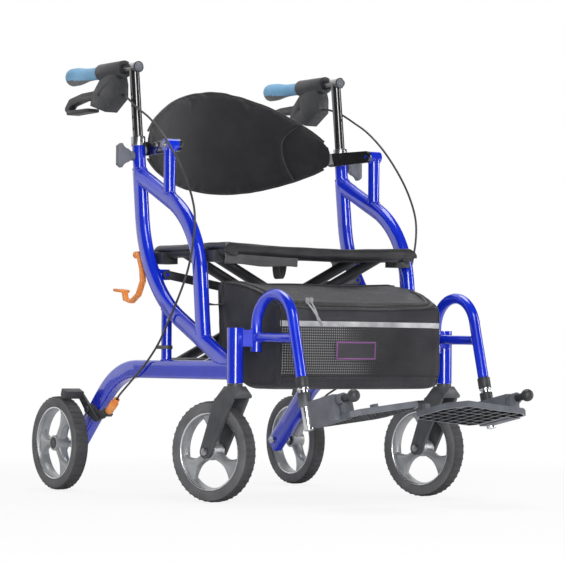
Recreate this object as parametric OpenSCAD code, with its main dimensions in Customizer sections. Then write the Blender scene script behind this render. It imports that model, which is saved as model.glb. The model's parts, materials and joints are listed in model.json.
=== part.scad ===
// Rollator transport chair: two welded side frames joined by a scissor brace,
// with a sling seat, a flip-over back strap, swing-away footrests and a tote bag.
// Millimetres. +Z up, +Y to the rear (push handles), front footrests towards -Y.
// Pieces that come in pairs are written for the left side (x > 0) and mirrored.

/* [Wheels] */
// Outside diameter of every wheel
wheel_d = 203; // [180:1:225]
// Width of every tyre
tyre_w = 32; // [26:1:38]
// Diameter of the rim where the tyre sits
rim_d = 158; // [144:1:166]
// Radial wall of the rim
rim_wall = 7; // [5:0.5:10]
// Diameter of the wheel hub
hub_d = 34; // [28:1:40]
// Diameter of every wheel axle
axle_d = 10; // [8:1:12]
// Gap between a side frame and its rear tyre
rear_wheel_gap = 19.5; // [17:0.5:30]
// Distance of the rear axle behind the middle of the frame
rear_axle_y = 432; // [410:1:450]
// Distance of the caster axle behind the caster's swivel axis
caster_trail = 55; // [40:1:60]
// Turn of the right and the left caster about its stem, anticlockwise from above, deg
right_swivel = 16; // [-45:1:45]
left_swivel = 12; // [-45:1:45]

/* [Side frames] */
// Distance between the middle planes of the two side frames
frame_spacing = 526; // [500:1:560]
// Depth of the oval frame tube, in the plane of the side frame
tube_depth = 36; // [32:1:42]
// Width of the oval frame tube, across the side frame
tube_w = 26; // [25:1:30]
// Height of the base tube
base_depth = 38; // [34:1:42]
// Corner radius of the base tube
base_corner = 6; // [4:0.5:9]
// Place of the head tube along Y
head_y = -187; // [-200:1:-175]
// Diameter of the head tube
head_d = 33; // [31:1:38]
// Length of the head tube
head_h = 73; // [60:1:85]
// Height of the base tube's middle above the lower end of the head tube
base_rise = 25.5; // [22:0.5:32]
// Backward lean of the rear post
post_lean = 7; // [5:0.5:9]
// Place of the rear post along Y at its upper end
post_y = 193; // [180:1:205]
// Height of the rear post's upper end
post_top_z = 735; // [715:1:750]
// Outside diameter of the rear post's round upper sleeve
sleeve_d = 28; // [27:0.5:31]
// Height where the rear tube turns towards the head tube
knee_z = 436; // [420:1:450]
// Bend radius of the rear tube
knee_r = 280; // [230:5:300]
// Height where the arm tube leaves the rear post
shoulder_z = 675; // [665:1:690]
// Place along Y of the corner of the arm tube
elbow_y = -44; // [-60:1:-30]
// Height of the corner of the arm tube
elbow_z = 566; // [550:1:580]
// Bend radius of the arm tube
elbow_r = 195; // [150:5:210]
// Place along Y of the arm tube's foot
arm_foot_y = -70; // [-85:1:-60]
// Place along Y where the base tube turns down to the rear wheel
leg_y = 262; // [245:1:280]
// Bend radius of the base tube
leg_r = 200; // [150:5:220]
// Length of the rear leg past its axle
leg_end = 17; // [14:1:24]
// Place along Y of the short upright strut
strut_y = 73; // [55:1:85]
// Diameter of the strut
strut_d = 22; // [18:1:25]

/* [Casters] */
// Gap between the tyre and the fork crown
crown_gap = 6; // [4:1:10]
// Height of the fork crown
crown_h = 24; // [18:1:30]
// Height of the bearing ring under the head tube
bearing_h = 6; // [4:1:9]
// Diameter of the caster's stem
stem_d = 12; // [10:1:16]
// Thickness of each fork arm
fork_wall = 8; // [6:0.5:9]
// Side gap between a fork arm and its tyre
fork_gap = 2.5; // [2:0.5:4]

/* [Scissor brace and seat] */
// Height of the seat rails
rail_z = 508; // [490:1:530]
// Distance of a seat rail inside the middle plane of its side frame
rail_inset = 35; // [34.5:0.5:48]
// Diameter of the rails and brace tubes
rail_d = 22; // [19:1:23]
// Front end of the seat rails
rail_front_y = -112; // [-125:1:-104]
// Rear end of the seat rails
rail_rear_y = 166; // [150:1:180]
// Height of the brace's lower hinge above the base tube's middle
hinge_rise = 13.5; // [10:0.5:18]
// Diameter of the lower hinge rods
hinge_rod_d = 12; // [10:1:14]
// Place along Y of the front crossing
cross_front_y = -14; // [-16:1:-4]
// Place along Y of the rear crossing
cross_rear_y = 74; // [66:1:78]
// Diameter of the crossing bolts
cross_bolt_d = 10; // [8:1:12]
// Thickness of the seat's padded panel
seat_t = 5; // [4:1:10]
// Sag of the seat in the middle, below its edges
seat_sag = 10; // [4:1:14]
// Drop of the seat's front flap
flap_h = 38; // [28:1:46]
// Height of the frame pivot of the fold stays
stay_z = 462; // [450:1:470]
// Distance of a stay's seat from the middle of its brace tube
stay_seat = 93.4; // [82:0.2:104]

/* [Push handles] */
// Height of the handle tube
handle_z = 905; // [880:1:930]
// Diameter of the handle post and the handle tube
handle_d = 22; // [20:0.5:22.5]
// Length of the handle post inside the frame
post_insert = 100; // [90:1:110]
// Depth of the bore for the handle post
post_bore = 172; // [165:1:175]
// Distance of the front cap ahead of the handle post
cap_reach = 14; // [12:1:30]
// Length of the handle tube behind the handle post
grip_reach = 272; // [260:1:285]
// Length of the grip
grip_l = 137; // [125:1:145]
// Greatest diameter of the grip
grip_d = 39; // [36:1:42]
// Pitch of the height holes in the handle post
hole_pitch = 25; // [20:1:30]
// Diameter of the height holes
hole_d = 6; // [5:0.5:7]
// Height of the collar on the rear post
collar_h = 21; // [16:1:26]
// Diameter of the collar on the rear post
collar_d = 31; // [29:0.5:32]
// Width of the brake housing and lever
lever_w = 18; // [14:1:24]

/* [Brakes] */
// Thickness of the brake arm and its bracket
brake_t = 5; // [4:0.5:6]
// Gap between the brake shoe and the tyre
shoe_gap = 5; // [4:0.5:7]
// Diameter of the brake pivot
brake_pin_d = 8; // [6:0.5:10]
// Diameter of the cable's outer sheath
cable_d = 4.5; // [3.5:0.5:6]
// Diameter of the cable adjuster
adjuster_d = 14; // [11:1:16]

/* [Footrests] */
// Distance of the footrest tube inside the middle plane of its side frame
hanger_inset = 37; // [35:0.5:39]
// Diameter of the footrest tube
hanger_d = 22; // [21:0.5:24]
// Place along Y of the rear leg of the footrest tube
hanger_y = -207; // [-215:1:-204]
// Height of the rear leg's lower end
hanger_foot_z = 302; // [290:1:310]
// Height of the top of the footrest tube's bend
hanger_top_z = 416; // [405:1:430]
// Bend radius of the footrest tube
hanger_r = 65; // [60:1:70]
// Forward lean of the front leg
hanger_lean = 15; // [12:1:18]
// Length of the front leg below the bend
hanger_leg = 125; // [115:1:135]
// Height of the pivot sleeve
pivot_sleeve_h = 37; // [30:1:45]
// Diameter of the footrest's pivot pin
pivot_pin_d = 14; // [10:1:18]
// Diameter of the sliding footrest tube
slider_d = 19; // [17:0.5:19]
// Length of the sliding tube below the footrest tube
slider_drop = 100; // [90:1:110]
// Upward tilt of the footplates
plate_pitch = 11; // [9:0.5:14]
// Upward cant of the footplates towards the middle
plate_cant = 6.5; // [0.5:0.1:8]
// Distance of the footplate hinge inside the footrest tube
plate_hinge_inset = 13; // [12:0.5:15]
// Depth of a footplate, front to rear
plate_l = 154; // [140:1:158]
// Reach of a footplate from its hinge
plate_reach = 172; // [155:1:173]
// Thickness of a footplate
plate_t = 12; // [9:0.5:14]
// Drop of the footplate's top below its hinge
plate_drop = 27; // [24:1:30]
// Thickness of the footplate's skin and ribs
plate_skin = 2.5; // [2:0.25:4]
// Length of the hinge housing
housing_l = 95; // [88:1:97]
// Diameter of the release plunger's shaft
plunger_d = 15; // [12:1:17]
// Diameter of the plunger's ball
ball_d = 25; // [20:1:30]

/* [Back strap] */
// Place along Y of the back strap's pivot
strap_pivot_y = 67; // [55:1:75]
// Height of the back strap's pivot
strap_pivot_z = 731; // [720:1:740]
// Diameter of the pivot stub
stub_d = 25; // [22:1:28]
// Diameter of the back strap's pivot bolt
strap_bolt_d = 8; // [6:0.5:10]
// Thickness of the back strap's arms
strap_arm_t = 6.5; // [5:0.5:6.5]
// Height of the back strap's arms
strap_arm_h = 30; // [24:1:32]
// Length of the back strap's arms
strap_arm_l = 133; // [120:1:140]
// Rearward bow of the back pad
pad_bow = 105; // [80:1:115]
// Height of the back pad at its middle
pad_h = 230; // [200:1:240]
// Height of the back pad at its ends
pad_end_h = 36; // [30:1:44]
// Thickness of the back pad
pad_t = 16; // [12:1:22]
// Thickness of the back pad at its ends
pad_end_t = 5; // [4:0.5:8]

/* [Tote bag] */
// Gap between the bag and each side frame at the rear
bag_gap = 28; // [26:1:40]
// Narrowing of each side of the bag towards the front
bag_taper = 17; // [15:1:24]
// Front of the bag
bag_front_y = -264; // [-272:1:-256]
// Rear of the bag
bag_rear_y = -47; // [-60:1:-46]
// Bottom of the bag
bag_bottom_z = 228; // [226:1:240]
// Height of the bag
bag_h = 222; // [200:1:226]
// Corner radius of the bag
bag_corner = 22; // [16:1:30]
// Fall of the bag's lid from its rear to its front edge
bag_lid_fall = 50; // [40:1:65]
// Rise of the bag's bottom at its rear
bag_rear_lift = 70; // [60:1:80]

/* [Clearances] */
// Radial clearance of a running fit
run_gap = 0.05; // [0.03:0.01:0.09]
// Clearance between pieces that pass each other
pass_gap = 0.4; // [0.3:0.05:0.6]

/* [Hidden] */
$fn = 64;

frame_x = frame_spacing / 2;
axle_z = wheel_d / 2;
head_z = wheel_d + crown_gap + crown_h + bearing_h;
head_top_z = head_z + head_h;
base_z = head_z + base_rise;
front_axle_y = head_y + caster_trail;
inner_face_x = frame_x - tube_w / 2;
outer_face_x = frame_x + tube_w / 2;
tyre_x = outer_face_x + rear_wheel_gap + tyre_w / 2;

// Side frame centre lines, as [y, z]
function post_at(z) = [post_y + (z - post_top_z) * tan(post_lean), z];
post_top = post_at(post_top_z);
knee = post_at(knee_z);
head_joint = [head_y, base_z];
shoulder = post_at(shoulder_z);
elbow = [elbow_y, elbow_z];
function on_line(a, b, y) = [y, a[1] + (b[1] - a[1]) * (y - a[0]) / (b[0] - a[0])];
function along(a, b, z) = [a[0] + (b[0] - a[0]) * (z - a[1]) / (b[1] - a[1]), z];
arm_foot = on_line(knee, head_joint, arm_foot_y);
leg_corner = [leg_y, base_z];
rear_axle = [rear_axle_y, axle_z];
function unit(a) = [cos(a), sin(a)];
function heading(a, b) = atan2(b[1] - a[1], b[0] - a[0]);
leg_tip = rear_axle + leg_end * unit(heading(leg_corner, rear_axle));
strut_top = on_line(knee, head_joint, strut_y);
stub_foot = on_line(shoulder, elbow, strap_pivot_y);
strap_pivot = [strap_pivot_y, strap_pivot_z];
// Inner face of the back strap's arms, which pass inside the collars
strap_x = frame_x - collar_d / 2 - 1 - strap_arm_t;
// Depth by which the rear tube's bend cuts the corner at height z
knee_turn = abs(heading(knee, head_joint) + 180 - heading(knee, post_top));
knee_start = knee + knee_r * tan(knee_turn / 2) * unit(heading(knee, post_top));
function rear_tube_y(z) =
    post_at(z)[0] - pow(max(0, knee_start[1] - z) / cos(post_lean), 2) / (2 * knee_r);
function rear_face_y(z) = rear_tube_y(z)
    + tube_depth / 2 / cos(post_lean + max(0, knee_start[1] - z) / cos(post_lean) / knee_r * 180 / PI);
function arm_tube_y(z) = along(elbow, arm_foot, z)[0];

// Scissor brace
rail_x = frame_x - rail_inset;
hinge_z = base_z + hinge_rise;
brace_half = norm([rail_x, (rail_z - hinge_z) / 2]);
brace_angle = atan2((rail_z - hinge_z) / 2, rail_x);
cross_z = (rail_z + hinge_z) / 2;
pair_gap = rail_d + 2;
function brace_ys(a) = [for (c = [cross_front_y, cross_rear_y]) c + (a ? 1 : -1) * pair_gap / 2];
hinge_end_gap = 6;
hinge_front_y = brace_ys(false)[0] - rail_d / 2 - hinge_end_gap;
hinge_rear_y = brace_ys(true)[1] + rail_d / 2 + hinge_end_gap;
lug_t = 6;
stay_t = 6;
stay_x = inner_face_x - 5;
stay_y = brace_ys(true)[1] + rail_d / 2 + 3 + stay_t / 2;
stay_end = [stay_seat * cos(brace_angle), cross_z + stay_seat * sin(brace_angle)];
stay_l = norm([stay_x, stay_z] - stay_end);
stay_drop = atan2(stay_z - stay_end[1], stay_x - stay_end[0]);
stay_pin_d = 8;

// Handle
function post_point(s) = post_top + s * [sin(post_lean), cos(post_lean)];
handle_s = (handle_z - post_top_z) / cos(post_lean);
handle_y = post_point(handle_s)[0];
cap_y = handle_y - cap_reach;
grip_end_y = handle_y + grip_reach;
grip_start_y = grip_end_y - grip_l;
lever_pivot = [grip_start_y - 14, handle_z - 50];
lever_pin_d = 7;
knob_s = -21;
knob_reach = 40;
knob_wing = 26;

// Brake
brake_pivot = rear_axle + 107 * unit(heading(rear_axle, leg_corner));
bracket_x = outer_face_x;
arm_x = bracket_x + brake_t + pass_gap;
shoe_angle = 110;
shoe_h = 16;
shoe_r = wheel_d / 2 + shoe_gap + shoe_h / 2;
shoe = rear_axle + shoe_r * unit(shoe_angle);
wire_end = brake_pivot + [-35, -20];
adjuster_x = frame_x + 7;
adjuster_foot = brake_pivot + [-61, -3];
adjuster_l = 44;
adjuster_angle = 142;
bracket_end_r = 9;

// Footrest
hanger_x = frame_x - hanger_inset;
plate_hinge_x = hanger_x - plate_hinge_inset;
arch = [hanger_y - hanger_r, hanger_top_z - hanger_r];
lean_dir = [-sin(hanger_lean), -cos(hanger_lean)];
leg_top = arch + hanger_r * [-cos(hanger_lean), sin(hanger_lean)];
function leg_at(s) = leg_top + s * lean_dir;
slider_travel = 60;
slider_insert = 80;
slider_gap = 26;
clamp_l = 28;
housing_s = hanger_leg + 56;
hinge_foot = leg_at(housing_s);
housing_up = 11;
housing_down = 39;
housing_w = 30;
pitch_dir = [-cos(plate_pitch), sin(plate_pitch)];
ball_f = 142;
lug_f = housing_l + 2;
plate_rear_f = -12;
plunger_pull = 10;
front_reach = hinge_foot[0] + ball_f * pitch_dir[0] - ball_d / 2;
rear_reach = rear_axle_y + wheel_d / 2;
y_mid = (front_reach + rear_reach) / 2;

// Brake cable: route points as [x, y, z] for the left side, from lever housing to adjuster
cable_bore = 10;
cable_start = [frame_x, grip_start_y - 87 + cable_bore, handle_z - 55];
cable_x = outer_face_x + 6;
function adjuster_at(s) = adjuster_foot + s * unit(adjuster_angle);
cable_route = [
    cable_start,
    cable_start + [0, -cable_bore, 0],
    cable_start + [0, -cable_bore - 8, 0],
    cable_start + [6, -32, -3],
    cable_start + [14, -57, -12],
    [cable_x, 165, 813],
    [cable_x, 116, 788],
    [cable_x, 60, 748],
    [cable_x, 8, 698],
    [cable_x, -32, 648],
    [cable_x, -58, 597],
    [cable_x, -62, 552],
    [cable_x, -50, 500],
    [cable_x, -31, 456],
    [cable_x, -1, 411],
    [cable_x, 37, 362],
    [cable_x, 77, 315],
    [cable_x, 130, 272],
    [cable_x - 2, 185, 239],
    [adjuster_x + 1, adjuster_at(adjuster_l + 16)[0], adjuster_at(adjuster_l + 16)[1]],
    [adjuster_x, adjuster_at(adjuster_l)[0], adjuster_at(adjuster_l)[1]],
    [adjuster_x, adjuster_at(adjuster_l - 8)[0], adjuster_at(adjuster_l - 8)[1]]
];

echo(y_mid = y_mid, frame_x = frame_x, hinge_z = hinge_z, rail_x = rail_x, cross_z = cross_z,
    brace_half = brace_half, brace_angle = brace_angle, head_y = head_y, head_top_z = head_top_z,
    front_axle_y = front_axle_y, axle_z = axle_z, rear_axle = rear_axle, tyre_x = tyre_x,
    stay = [stay_x, stay_y, stay_z], stay_drop = stay_drop, stay_l = stay_l, lever_pivot = lever_pivot, brake_pivot = brake_pivot,
    knob = post_point(knob_s), hinge_foot = hinge_foot, pitch_dir = pitch_dir,
    lean_dir = lean_dir, strap_pivot = strap_pivot, post_dir = [sin(post_lean), cos(post_lean)]);

// Shared shapes

// A shape that belongs to one side of the chair, placed on the part's origin
module on_left() translate([0, -y_mid, 0]) children();
module on_right() mirror([1, 0, 0]) on_left() children();

// Draws in the plane of a side frame: x is the chair's Y, y its Z, and z points outwards
module side_plane(x = frame_x) translate([x, 0, 0]) rotate([90, 0, 90]) children();

// Rounded rectangle of a tube's section, drawn as one outline; a circle where the corner fills it
corner_steps = 6;
module round_rect(w, h, r) {
    if (w - 2 * r < 0.01 && h - 2 * r < 0.01) circle(r);
    else polygon([
        for (q = [0:3], k = [0:corner_steps])
            let (a = 90 * (q + k / corner_steps), sx = q == 0 || q == 3 ? 1 : -1, sy = q < 2 ? 1 : -1)
            if (k > 0 || (q % 2 == 0 ? h - 2 * r > 0.01 : true) && (q % 2 == 1 ? w - 2 * r > 0.01 : true))
                [sx * (w / 2 - r), sy * (h / 2 - r)] + r * unit(a)
    ]);
}

// Two circles joined by their outer tangents
module link2d(p, rp, q, rq) {
    a = heading(p, q);
    b = acos((rp - rq) / norm(q - p));
    union() {
        translate(p) circle(rp);
        translate(q) circle(rq);
        polygon([p + rp * unit(a + b), q + rq * unit(a + b), q + rq * unit(a - b), p + rp * unit(a - b)]);
    }
}

// Straight tube from a to b in the side plane, of the given depth, width and corner
module straight_tube(a, b, depth, w, r)
    translate([a[0], a[1], 0]) rotate([0, 0, heading(a, b)]) rotate([0, 90, 0])
        linear_extrude(norm(b - a)) round_rect(w, depth, r);

// Tube from a by a rounded corner to b in the side plane; the bend is a hair thinner and starts inside the straights
bend_lap = 2;
bend_thin = 0.3;
module bent_tube(a, corner, b, bend, depth, w, r) {
    d1 = heading(a, corner);
    raw = heading(corner, b) - d1;
    turn = round(10 * (raw > 180 ? raw - 360 : raw < -180 ? raw + 360 : raw)) / 10;
    side = sign(turn);
    t = bend * tan(abs(turn) / 2);
    from = corner - t * unit(d1);
    centre = from + side * bend * [-sin(d1), cos(d1)];
    first = norm(from - a);
    last = norm(b - corner) - t;
    translate([centre[0], centre[1], 0]) rotate([0, 0, d1 - 90 * side]) {
        translate([0, side > 0 ? bend_lap : first, 0]) rotate([90, 0, 0])
            linear_extrude(first + bend_lap) translate([bend, 0]) round_rect(depth, w, r);
        rotate([0, 0, min(turn, 0)]) rotate_extrude(angle = abs(turn))
            translate([bend, 0]) round_rect(depth - bend_thin, w - bend_thin, r - bend_thin / 2);
        rotate([0, 0, turn]) translate([0, side > 0 ? last : bend_lap, 0]) rotate([90, 0, 0])
            linear_extrude(last + bend_lap) translate([bend, 0]) round_rect(depth, w, r);
    }
}

// Rod of diameter d along the rear post's axis, from distance s0 to s1 above its top
module post_rod(d, s0, s1)
    side_plane() translate([post_point(s0)[0], post_point(s0)[1], 0])
        rotate([0, 0, 90 - post_lean]) rotate([0, 90, 0]) cylinder(d = d, h = s1 - s0);

// Rod along X, centred on a [y, z] point, from x0 to x1
module cross_rod(p, d, x0, x1) translate([x0, p[0], p[1]]) rotate([0, 90, 0]) cylinder(d = d, h = x1 - x0);

// Rod along Y from y0 to y1
module long_rod(x, z, d, y0, y1) translate([x, y1, z]) rotate([90, 0, 0]) cylinder(d = d, h = y1 - y0);

// Ring faces of a tube swept along points, as one closed polyhedron
function sweep_dir(p, i) = let (a = p[max(0, i - 1)], b = p[min(len(p) - 1, i + 1)]) (b - a) / norm(b - a);
function sweep_ring(p, i, r, n) =
    let (d = sweep_dir(p, i), u = cross(d, [1, 0, 0]) / norm(cross(d, [1, 0, 0])), v = cross(d, u))
    [for (k = [0:n - 1]) p[i] + r * (cos(360 * k / n) * u + sin(360 * k / n) * v)];
// Smooth curve through the route points, with m steps between neighbours
function spline(p, m) = [
    for (i = [0:len(p) - 2], k = [0:m - 1])
        let (a = p[max(0, i - 1)], b = p[i], c = p[i + 1], e = p[min(len(p) - 1, i + 2)], t = k / m)
        0.5 * (2 * b + (c - a) * t + (2 * a - 5 * b + 4 * c - e) * t * t + (3 * b - a - 3 * c + e) * t * t * t),
    p[len(p) - 1]
];
module swept_tube(p, r, n) {
    rings = len(p);
    points = [for (i = [0:rings - 1]) each sweep_ring(p, i, r, n)];
    walls = [
        for (i = [0:rings - 2], k = [0:n - 1])
            let (a = i * n + k, b = i * n + (k + 1) % n)
            each [[a, b, b + n], [a, b + n, a + n]]
    ];
    ends = [for (k = [1:n - 2]) each [[0, k + 1, k], [(rings - 1) * n, (rings - 1) * n + k, (rings - 1) * n + k + 1]]];
    polyhedron(points = points, faces = concat(walls, ends));
}

// Side frame

module side_frame() color("mediumblue") difference() {
    union() {
        side_plane() {
            bent_tube(post_at(shoulder_z + 12), knee, head_joint, knee_r, tube_depth, tube_w, tube_w / 2);
            bent_tube(shoulder, elbow, arm_foot, elbow_r, tube_depth, tube_w, tube_w / 2);
            bent_tube(head_joint, leg_corner, leg_tip, leg_r, base_depth, tube_w, base_corner);
            straight_tube([strut_y, base_z], strut_top, strut_d, strut_d, strut_d / 2);
            straight_tube(stub_foot, strap_pivot, stub_d, stub_d, stub_d / 2);
        }
        post_rod(sleeve_d, -(post_top_z - shoulder_z), 0);
        translate([frame_x, head_y, head_z]) cylinder(d = head_d, h = head_h);
        translate([frame_x, head_y, head_top_z]) cylinder(d = pivot_pin_d, h = pivot_sleeve_h - 8);
        cross_rod(strap_pivot, stub_d, strap_x + strap_arm_t + pass_gap, outer_face_x);
        cross_rod(strap_pivot, strap_bolt_d, strap_x, inner_face_x + 2);
        brace_hinge_mount();
        stay_mount();
    }
    post_rod(handle_d + 2 * run_gap, -post_bore, 1);
    cross_rod(post_point(knob_s), 8, frame_x, outer_face_x + 10);
    translate([frame_x, head_y, head_z - 1]) cylinder(d = stem_d + 2 * run_gap, h = head_h - 12);
    cross_rod(rear_axle, axle_d, inner_face_x - 1, outer_face_x + 1);
}

// Rod on which the brace's lower tube turns, and the lugs that carry it from the base tube
module brace_hinge_mount() {
    long_rod(rail_x, hinge_z, hinge_rod_d, hinge_front_y - pass_gap - lug_t, hinge_rear_y + pass_gap + lug_t);
    for (y = [hinge_front_y - pass_gap - lug_t, hinge_rear_y + pass_gap])
        translate([0, y + lug_t, 0]) rotate([90, 0, 0]) linear_extrude(lug_t)
            link2d([rail_x, hinge_z], rail_d / 2, [inner_face_x + 6, base_z], base_depth / 2 - 4);
}

// Pivot of a fold stay on the rear tube
module stay_mount() {
    tube_y = rear_tube_y(stay_z);
    long_rod(stay_x, stay_z, stay_pin_d, stay_y - stay_t / 2, tube_y);
    translate([stay_x - 9, stay_y + stay_t / 2 + pass_gap, stay_z - 11])
        cube([inner_face_x - stay_x + 12, tube_y - stay_y + 6, 22]);
}

// Plastic saddles on the side frame that carry the seat rail
module seat_saddles() color("#202022") for (y = [arm_tube_y(rail_z - 14) - 13, rear_tube_y(rail_z - 14) - 16])
    difference() {
        translate([rail_x - rail_d / 2 - 5, y - 19, rail_z - rail_d / 2 - 12])
            cube([inner_face_x - rail_x + rail_d / 2 + 5, 38, rail_d / 2 + 12]);
        long_rod(rail_x, rail_z, rail_d + 2 * pass_gap, y - 20, y + 20);
        translate([rail_x - rail_d / 2 - 6, y - 20, rail_z - 4]) cube([6, 40, 10]);
    }

// Push handle

module post_collar() color("#202022") difference() {
    post_rod(collar_d, 0, collar_h);
    post_rod(handle_d + 2 * run_gap, -1, collar_h + 1);
}

module handle_post() color("#26262a") {
    difference() {
        union() {
            post_rod(handle_d, -post_insert, handle_s);
            long_rod(frame_x, handle_z, handle_d, cap_y, grip_end_y - 8);
        }
        for (i = [1:4]) cross_rod(post_point(i * hole_pitch + 12), hole_d, frame_x, outer_face_x);
    }
    long_rod(frame_x, handle_z, handle_d + 2, cap_y - 5, cap_y);
}

// Grip that swells towards its rounded rear end
module grip() color("#5d93d2") difference() {
    translate([frame_x, grip_end_y, handle_z]) rotate([90, 0, 0]) rotate_extrude() {
        square([grip_d / 2 - 12, 24]);
        intersection() {
            translate([grip_d / 2 - 12, 12]) circle(12);
            square(grip_d);
        }
        translate([0, 12]) polygon([
            [0, 0], [grip_d / 2, 0], [grip_d / 2 - 1, 40], [handle_d / 2 + 3, grip_l - 44],
            [handle_d / 2 + 1.5, grip_l - 12], [0, grip_l - 12]
        ]);
    }
    long_rod(frame_x, handle_z, handle_d, grip_start_y - 1, grip_end_y - 8);
}

// Outline of the housing's body, from the grip's front end and the handle's height
housing_outline = [[-77, -2], [-87, -32], [-87, -62], [-40, -89], [24, -71], [20, -49], [-14, -19]];
// Clamp sleeve on the handle tube and the body that hangs under it, slotted for the lever
module brake_housing() color("#2b2b2e") difference() {
    union() {
        long_rod(frame_x, handle_z, grip_d - 2, grip_start_y - 96, grip_start_y - pass_gap);
        side_plane() linear_extrude(lever_w + 12, center = true)
            polygon([for (p = housing_outline) p + [grip_start_y, handle_z]]);
    }
    long_rod(frame_x, handle_z, handle_d, cap_y, grip_end_y);
    side_plane() linear_extrude(lever_w + 2 * pass_gap, center = true) {
        translate(lever_pivot) circle(13.5);
        polygon([for (p = [[0, -13.5], [60, -13.5], [60, 43], [0, 13.5]]) lever_pivot + p]);
    }
    cross_rod(lever_pivot, lever_pin_d, frame_x - 30, frame_x + 30);
    translate(cable_start) rotate([90, 0, 0]) cylinder(d = cable_d + 2 * run_gap, h = 30);
}

// Lever with its pin, arm, curled end and forward foot
module brake_lever() color("#3a3a3d") {
    bow = [grip_start_y + 70, handle_z - 48];
    end = [grip_end_y - 14, handle_z - 56];
    curl = [grip_end_y + 3, handle_z - 69];
    foot = [grip_end_y - 12, handle_z - 79];
    toe = [grip_end_y - 98, handle_z - 79];
    side_plane() linear_extrude(lever_w, center = true) {
        link2d(lever_pivot, 12, bow, 8);
        link2d(bow, 8, end, 8);
        link2d(end, 8, curl, 6);
        link2d(curl, 6, foot, 5);
    }
    side_plane() linear_extrude(lever_w + 10, center = true) link2d(foot, 5, toe, 4);
    cross_rod(lever_pivot, lever_pin_d - 2 * run_gap, frame_x - lever_w / 2 - 5, frame_x + lever_w / 2 + 5);
}

// Three-sided wing knob whose screw clamps the handle post
module clamp_knob() color("#26262a") {
    p = post_point(knob_s);
    cross_rod(p, 8 - 2 * run_gap, frame_x + handle_d / 2 + 1, outer_face_x + 5);
    cross_rod(p, 20, outer_face_x + 2, outer_face_x + 12);
    translate([outer_face_x, p[0], p[1]]) rotate([90, 0, 0]) linear_extrude(13, center = true) difference() {
        polygon([[10, -9], [knob_reach - 8, -knob_wing], [knob_reach, -knob_wing + 6], [knob_reach, knob_wing - 6],
            [knob_reach - 8, knob_wing], [10, 9]]);
        for (s = [-1, 1]) translate([14, s * (knob_wing + 6)]) circle(knob_wing - 8);
    }
}

// Rear brake

module brake_cable() color("#37373a") swept_tube(spline(cable_route, 3), cable_d / 2, 12);

// Plate on the rear leg with the brake's pivot and the adjuster's seat under the leg
module brake_bracket() color("#1d1d1f") {
    side_plane(bracket_x) linear_extrude(brake_t) {
        link2d(brake_pivot, 13, brake_pivot + [-30, -12], 11);
        link2d(brake_pivot + [-30, -12], 11, adjuster_at(-bracket_end_r - 1), bracket_end_r);
    }
    cross_rod(brake_pivot, brake_pin_d, bracket_x + brake_t, arm_x + brake_t + 3);
    cross_rod(brake_pivot, brake_pin_d + 7, arm_x + brake_t + pass_gap, arm_x + brake_t + 5);
    side_plane(adjuster_x) translate([adjuster_foot[0], adjuster_foot[1], 0]) rotate([0, 0, adjuster_angle])
        translate([-8, -8.2, -adjuster_d / 2 - 1]) cube([8, 16.4, bracket_x + brake_t - 1 - adjuster_x + adjuster_d / 2 + 1]);
}

// Barrel on the bracket's seat, bored for the cable
module cable_adjuster() color("#f08a3c") side_plane(adjuster_x)
    translate([adjuster_foot[0], adjuster_foot[1], 0]) rotate([0, 0, adjuster_angle]) rotate([0, 90, 0]) difference() {
        union() {
            cylinder(d = adjuster_d, h = adjuster_l - 12);
            cylinder(d = adjuster_d - 4, h = adjuster_l);
        }
        translate([0, 0, adjuster_l - 12]) cylinder(d = cable_d + 2 * run_gap, h = 20);
    }

// Flat arm from the cable's end over the pivot to the shoe above the tyre
module brake_arm() color("#1d1d1f") {
    side_plane(arm_x) difference() {
        linear_extrude(brake_t) {
            link2d(wire_end, 6, brake_pivot, 11);
            link2d(brake_pivot, 11, shoe, shoe_h / 2);
        }
        translate([brake_pivot[0], brake_pivot[1], -1]) cylinder(d = brake_pin_d + 2 * run_gap, h = brake_t + 2);
    }
    side_plane(arm_x) translate([shoe[0], shoe[1], 0]) rotate([0, 0, shoe_angle - 90])
        translate([-11, -shoe_h / 2, 0]) cube([22, shoe_h, tyre_x + tyre_w / 2 - 2 - arm_x]);
}

// Wheels

// Rim with three flared spokes, its axis along X at the origin
module rim(turn) color("#9fa3a6") {
    rotate([0, 90, 0]) difference() {
        union() {
            rotate_extrude() {
                translate([rim_d / 2 - rim_wall, -tyre_w / 2 + 3]) square([rim_wall, tyre_w - 6]);
                translate([0, -tyre_w / 2]) square([hub_d / 2, tyre_w]);
            }
            for (k = [0:2]) rotate([0, 0, 120 * k + turn]) intersection() {
                linear_extrude(tyre_w - 8, center = true)
                    polygon([[0, -9], [hub_d, -8], [rim_d / 2 - 2, -20], [rim_d / 2 - 2, 20], [hub_d, 8], [0, 9]]);
                cylinder(d = rim_d - rim_wall, h = tyre_w, center = true);
            }
        }
        cylinder(d = axle_d + 2 * run_gap, h = tyre_w + 2, center = true);
    }
}

// Tyre with rounded shoulders
module tyre() color("#3b3b3d") rotate([0, 90, 0]) rotate_extrude() intersection() {
    translate([rim_d / 2, -tyre_w / 2]) square([(wheel_d - rim_d) / 2, tyre_w]);
    translate([wheel_d / 2 - 30, 0]) round_rect(60, tyre_w, 8);
}

module rear_wheel_place() translate([tyre_x, rear_axle[0], rear_axle[1]]) children();
module front_wheel_place() translate([frame_x, front_axle_y, axle_z]) children();
// Turns a caster about its stem
module caster_turn(angle) translate([frame_x, head_y, 0]) rotate([0, 0, angle])
    translate([-frame_x, -head_y, 0]) children();

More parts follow.
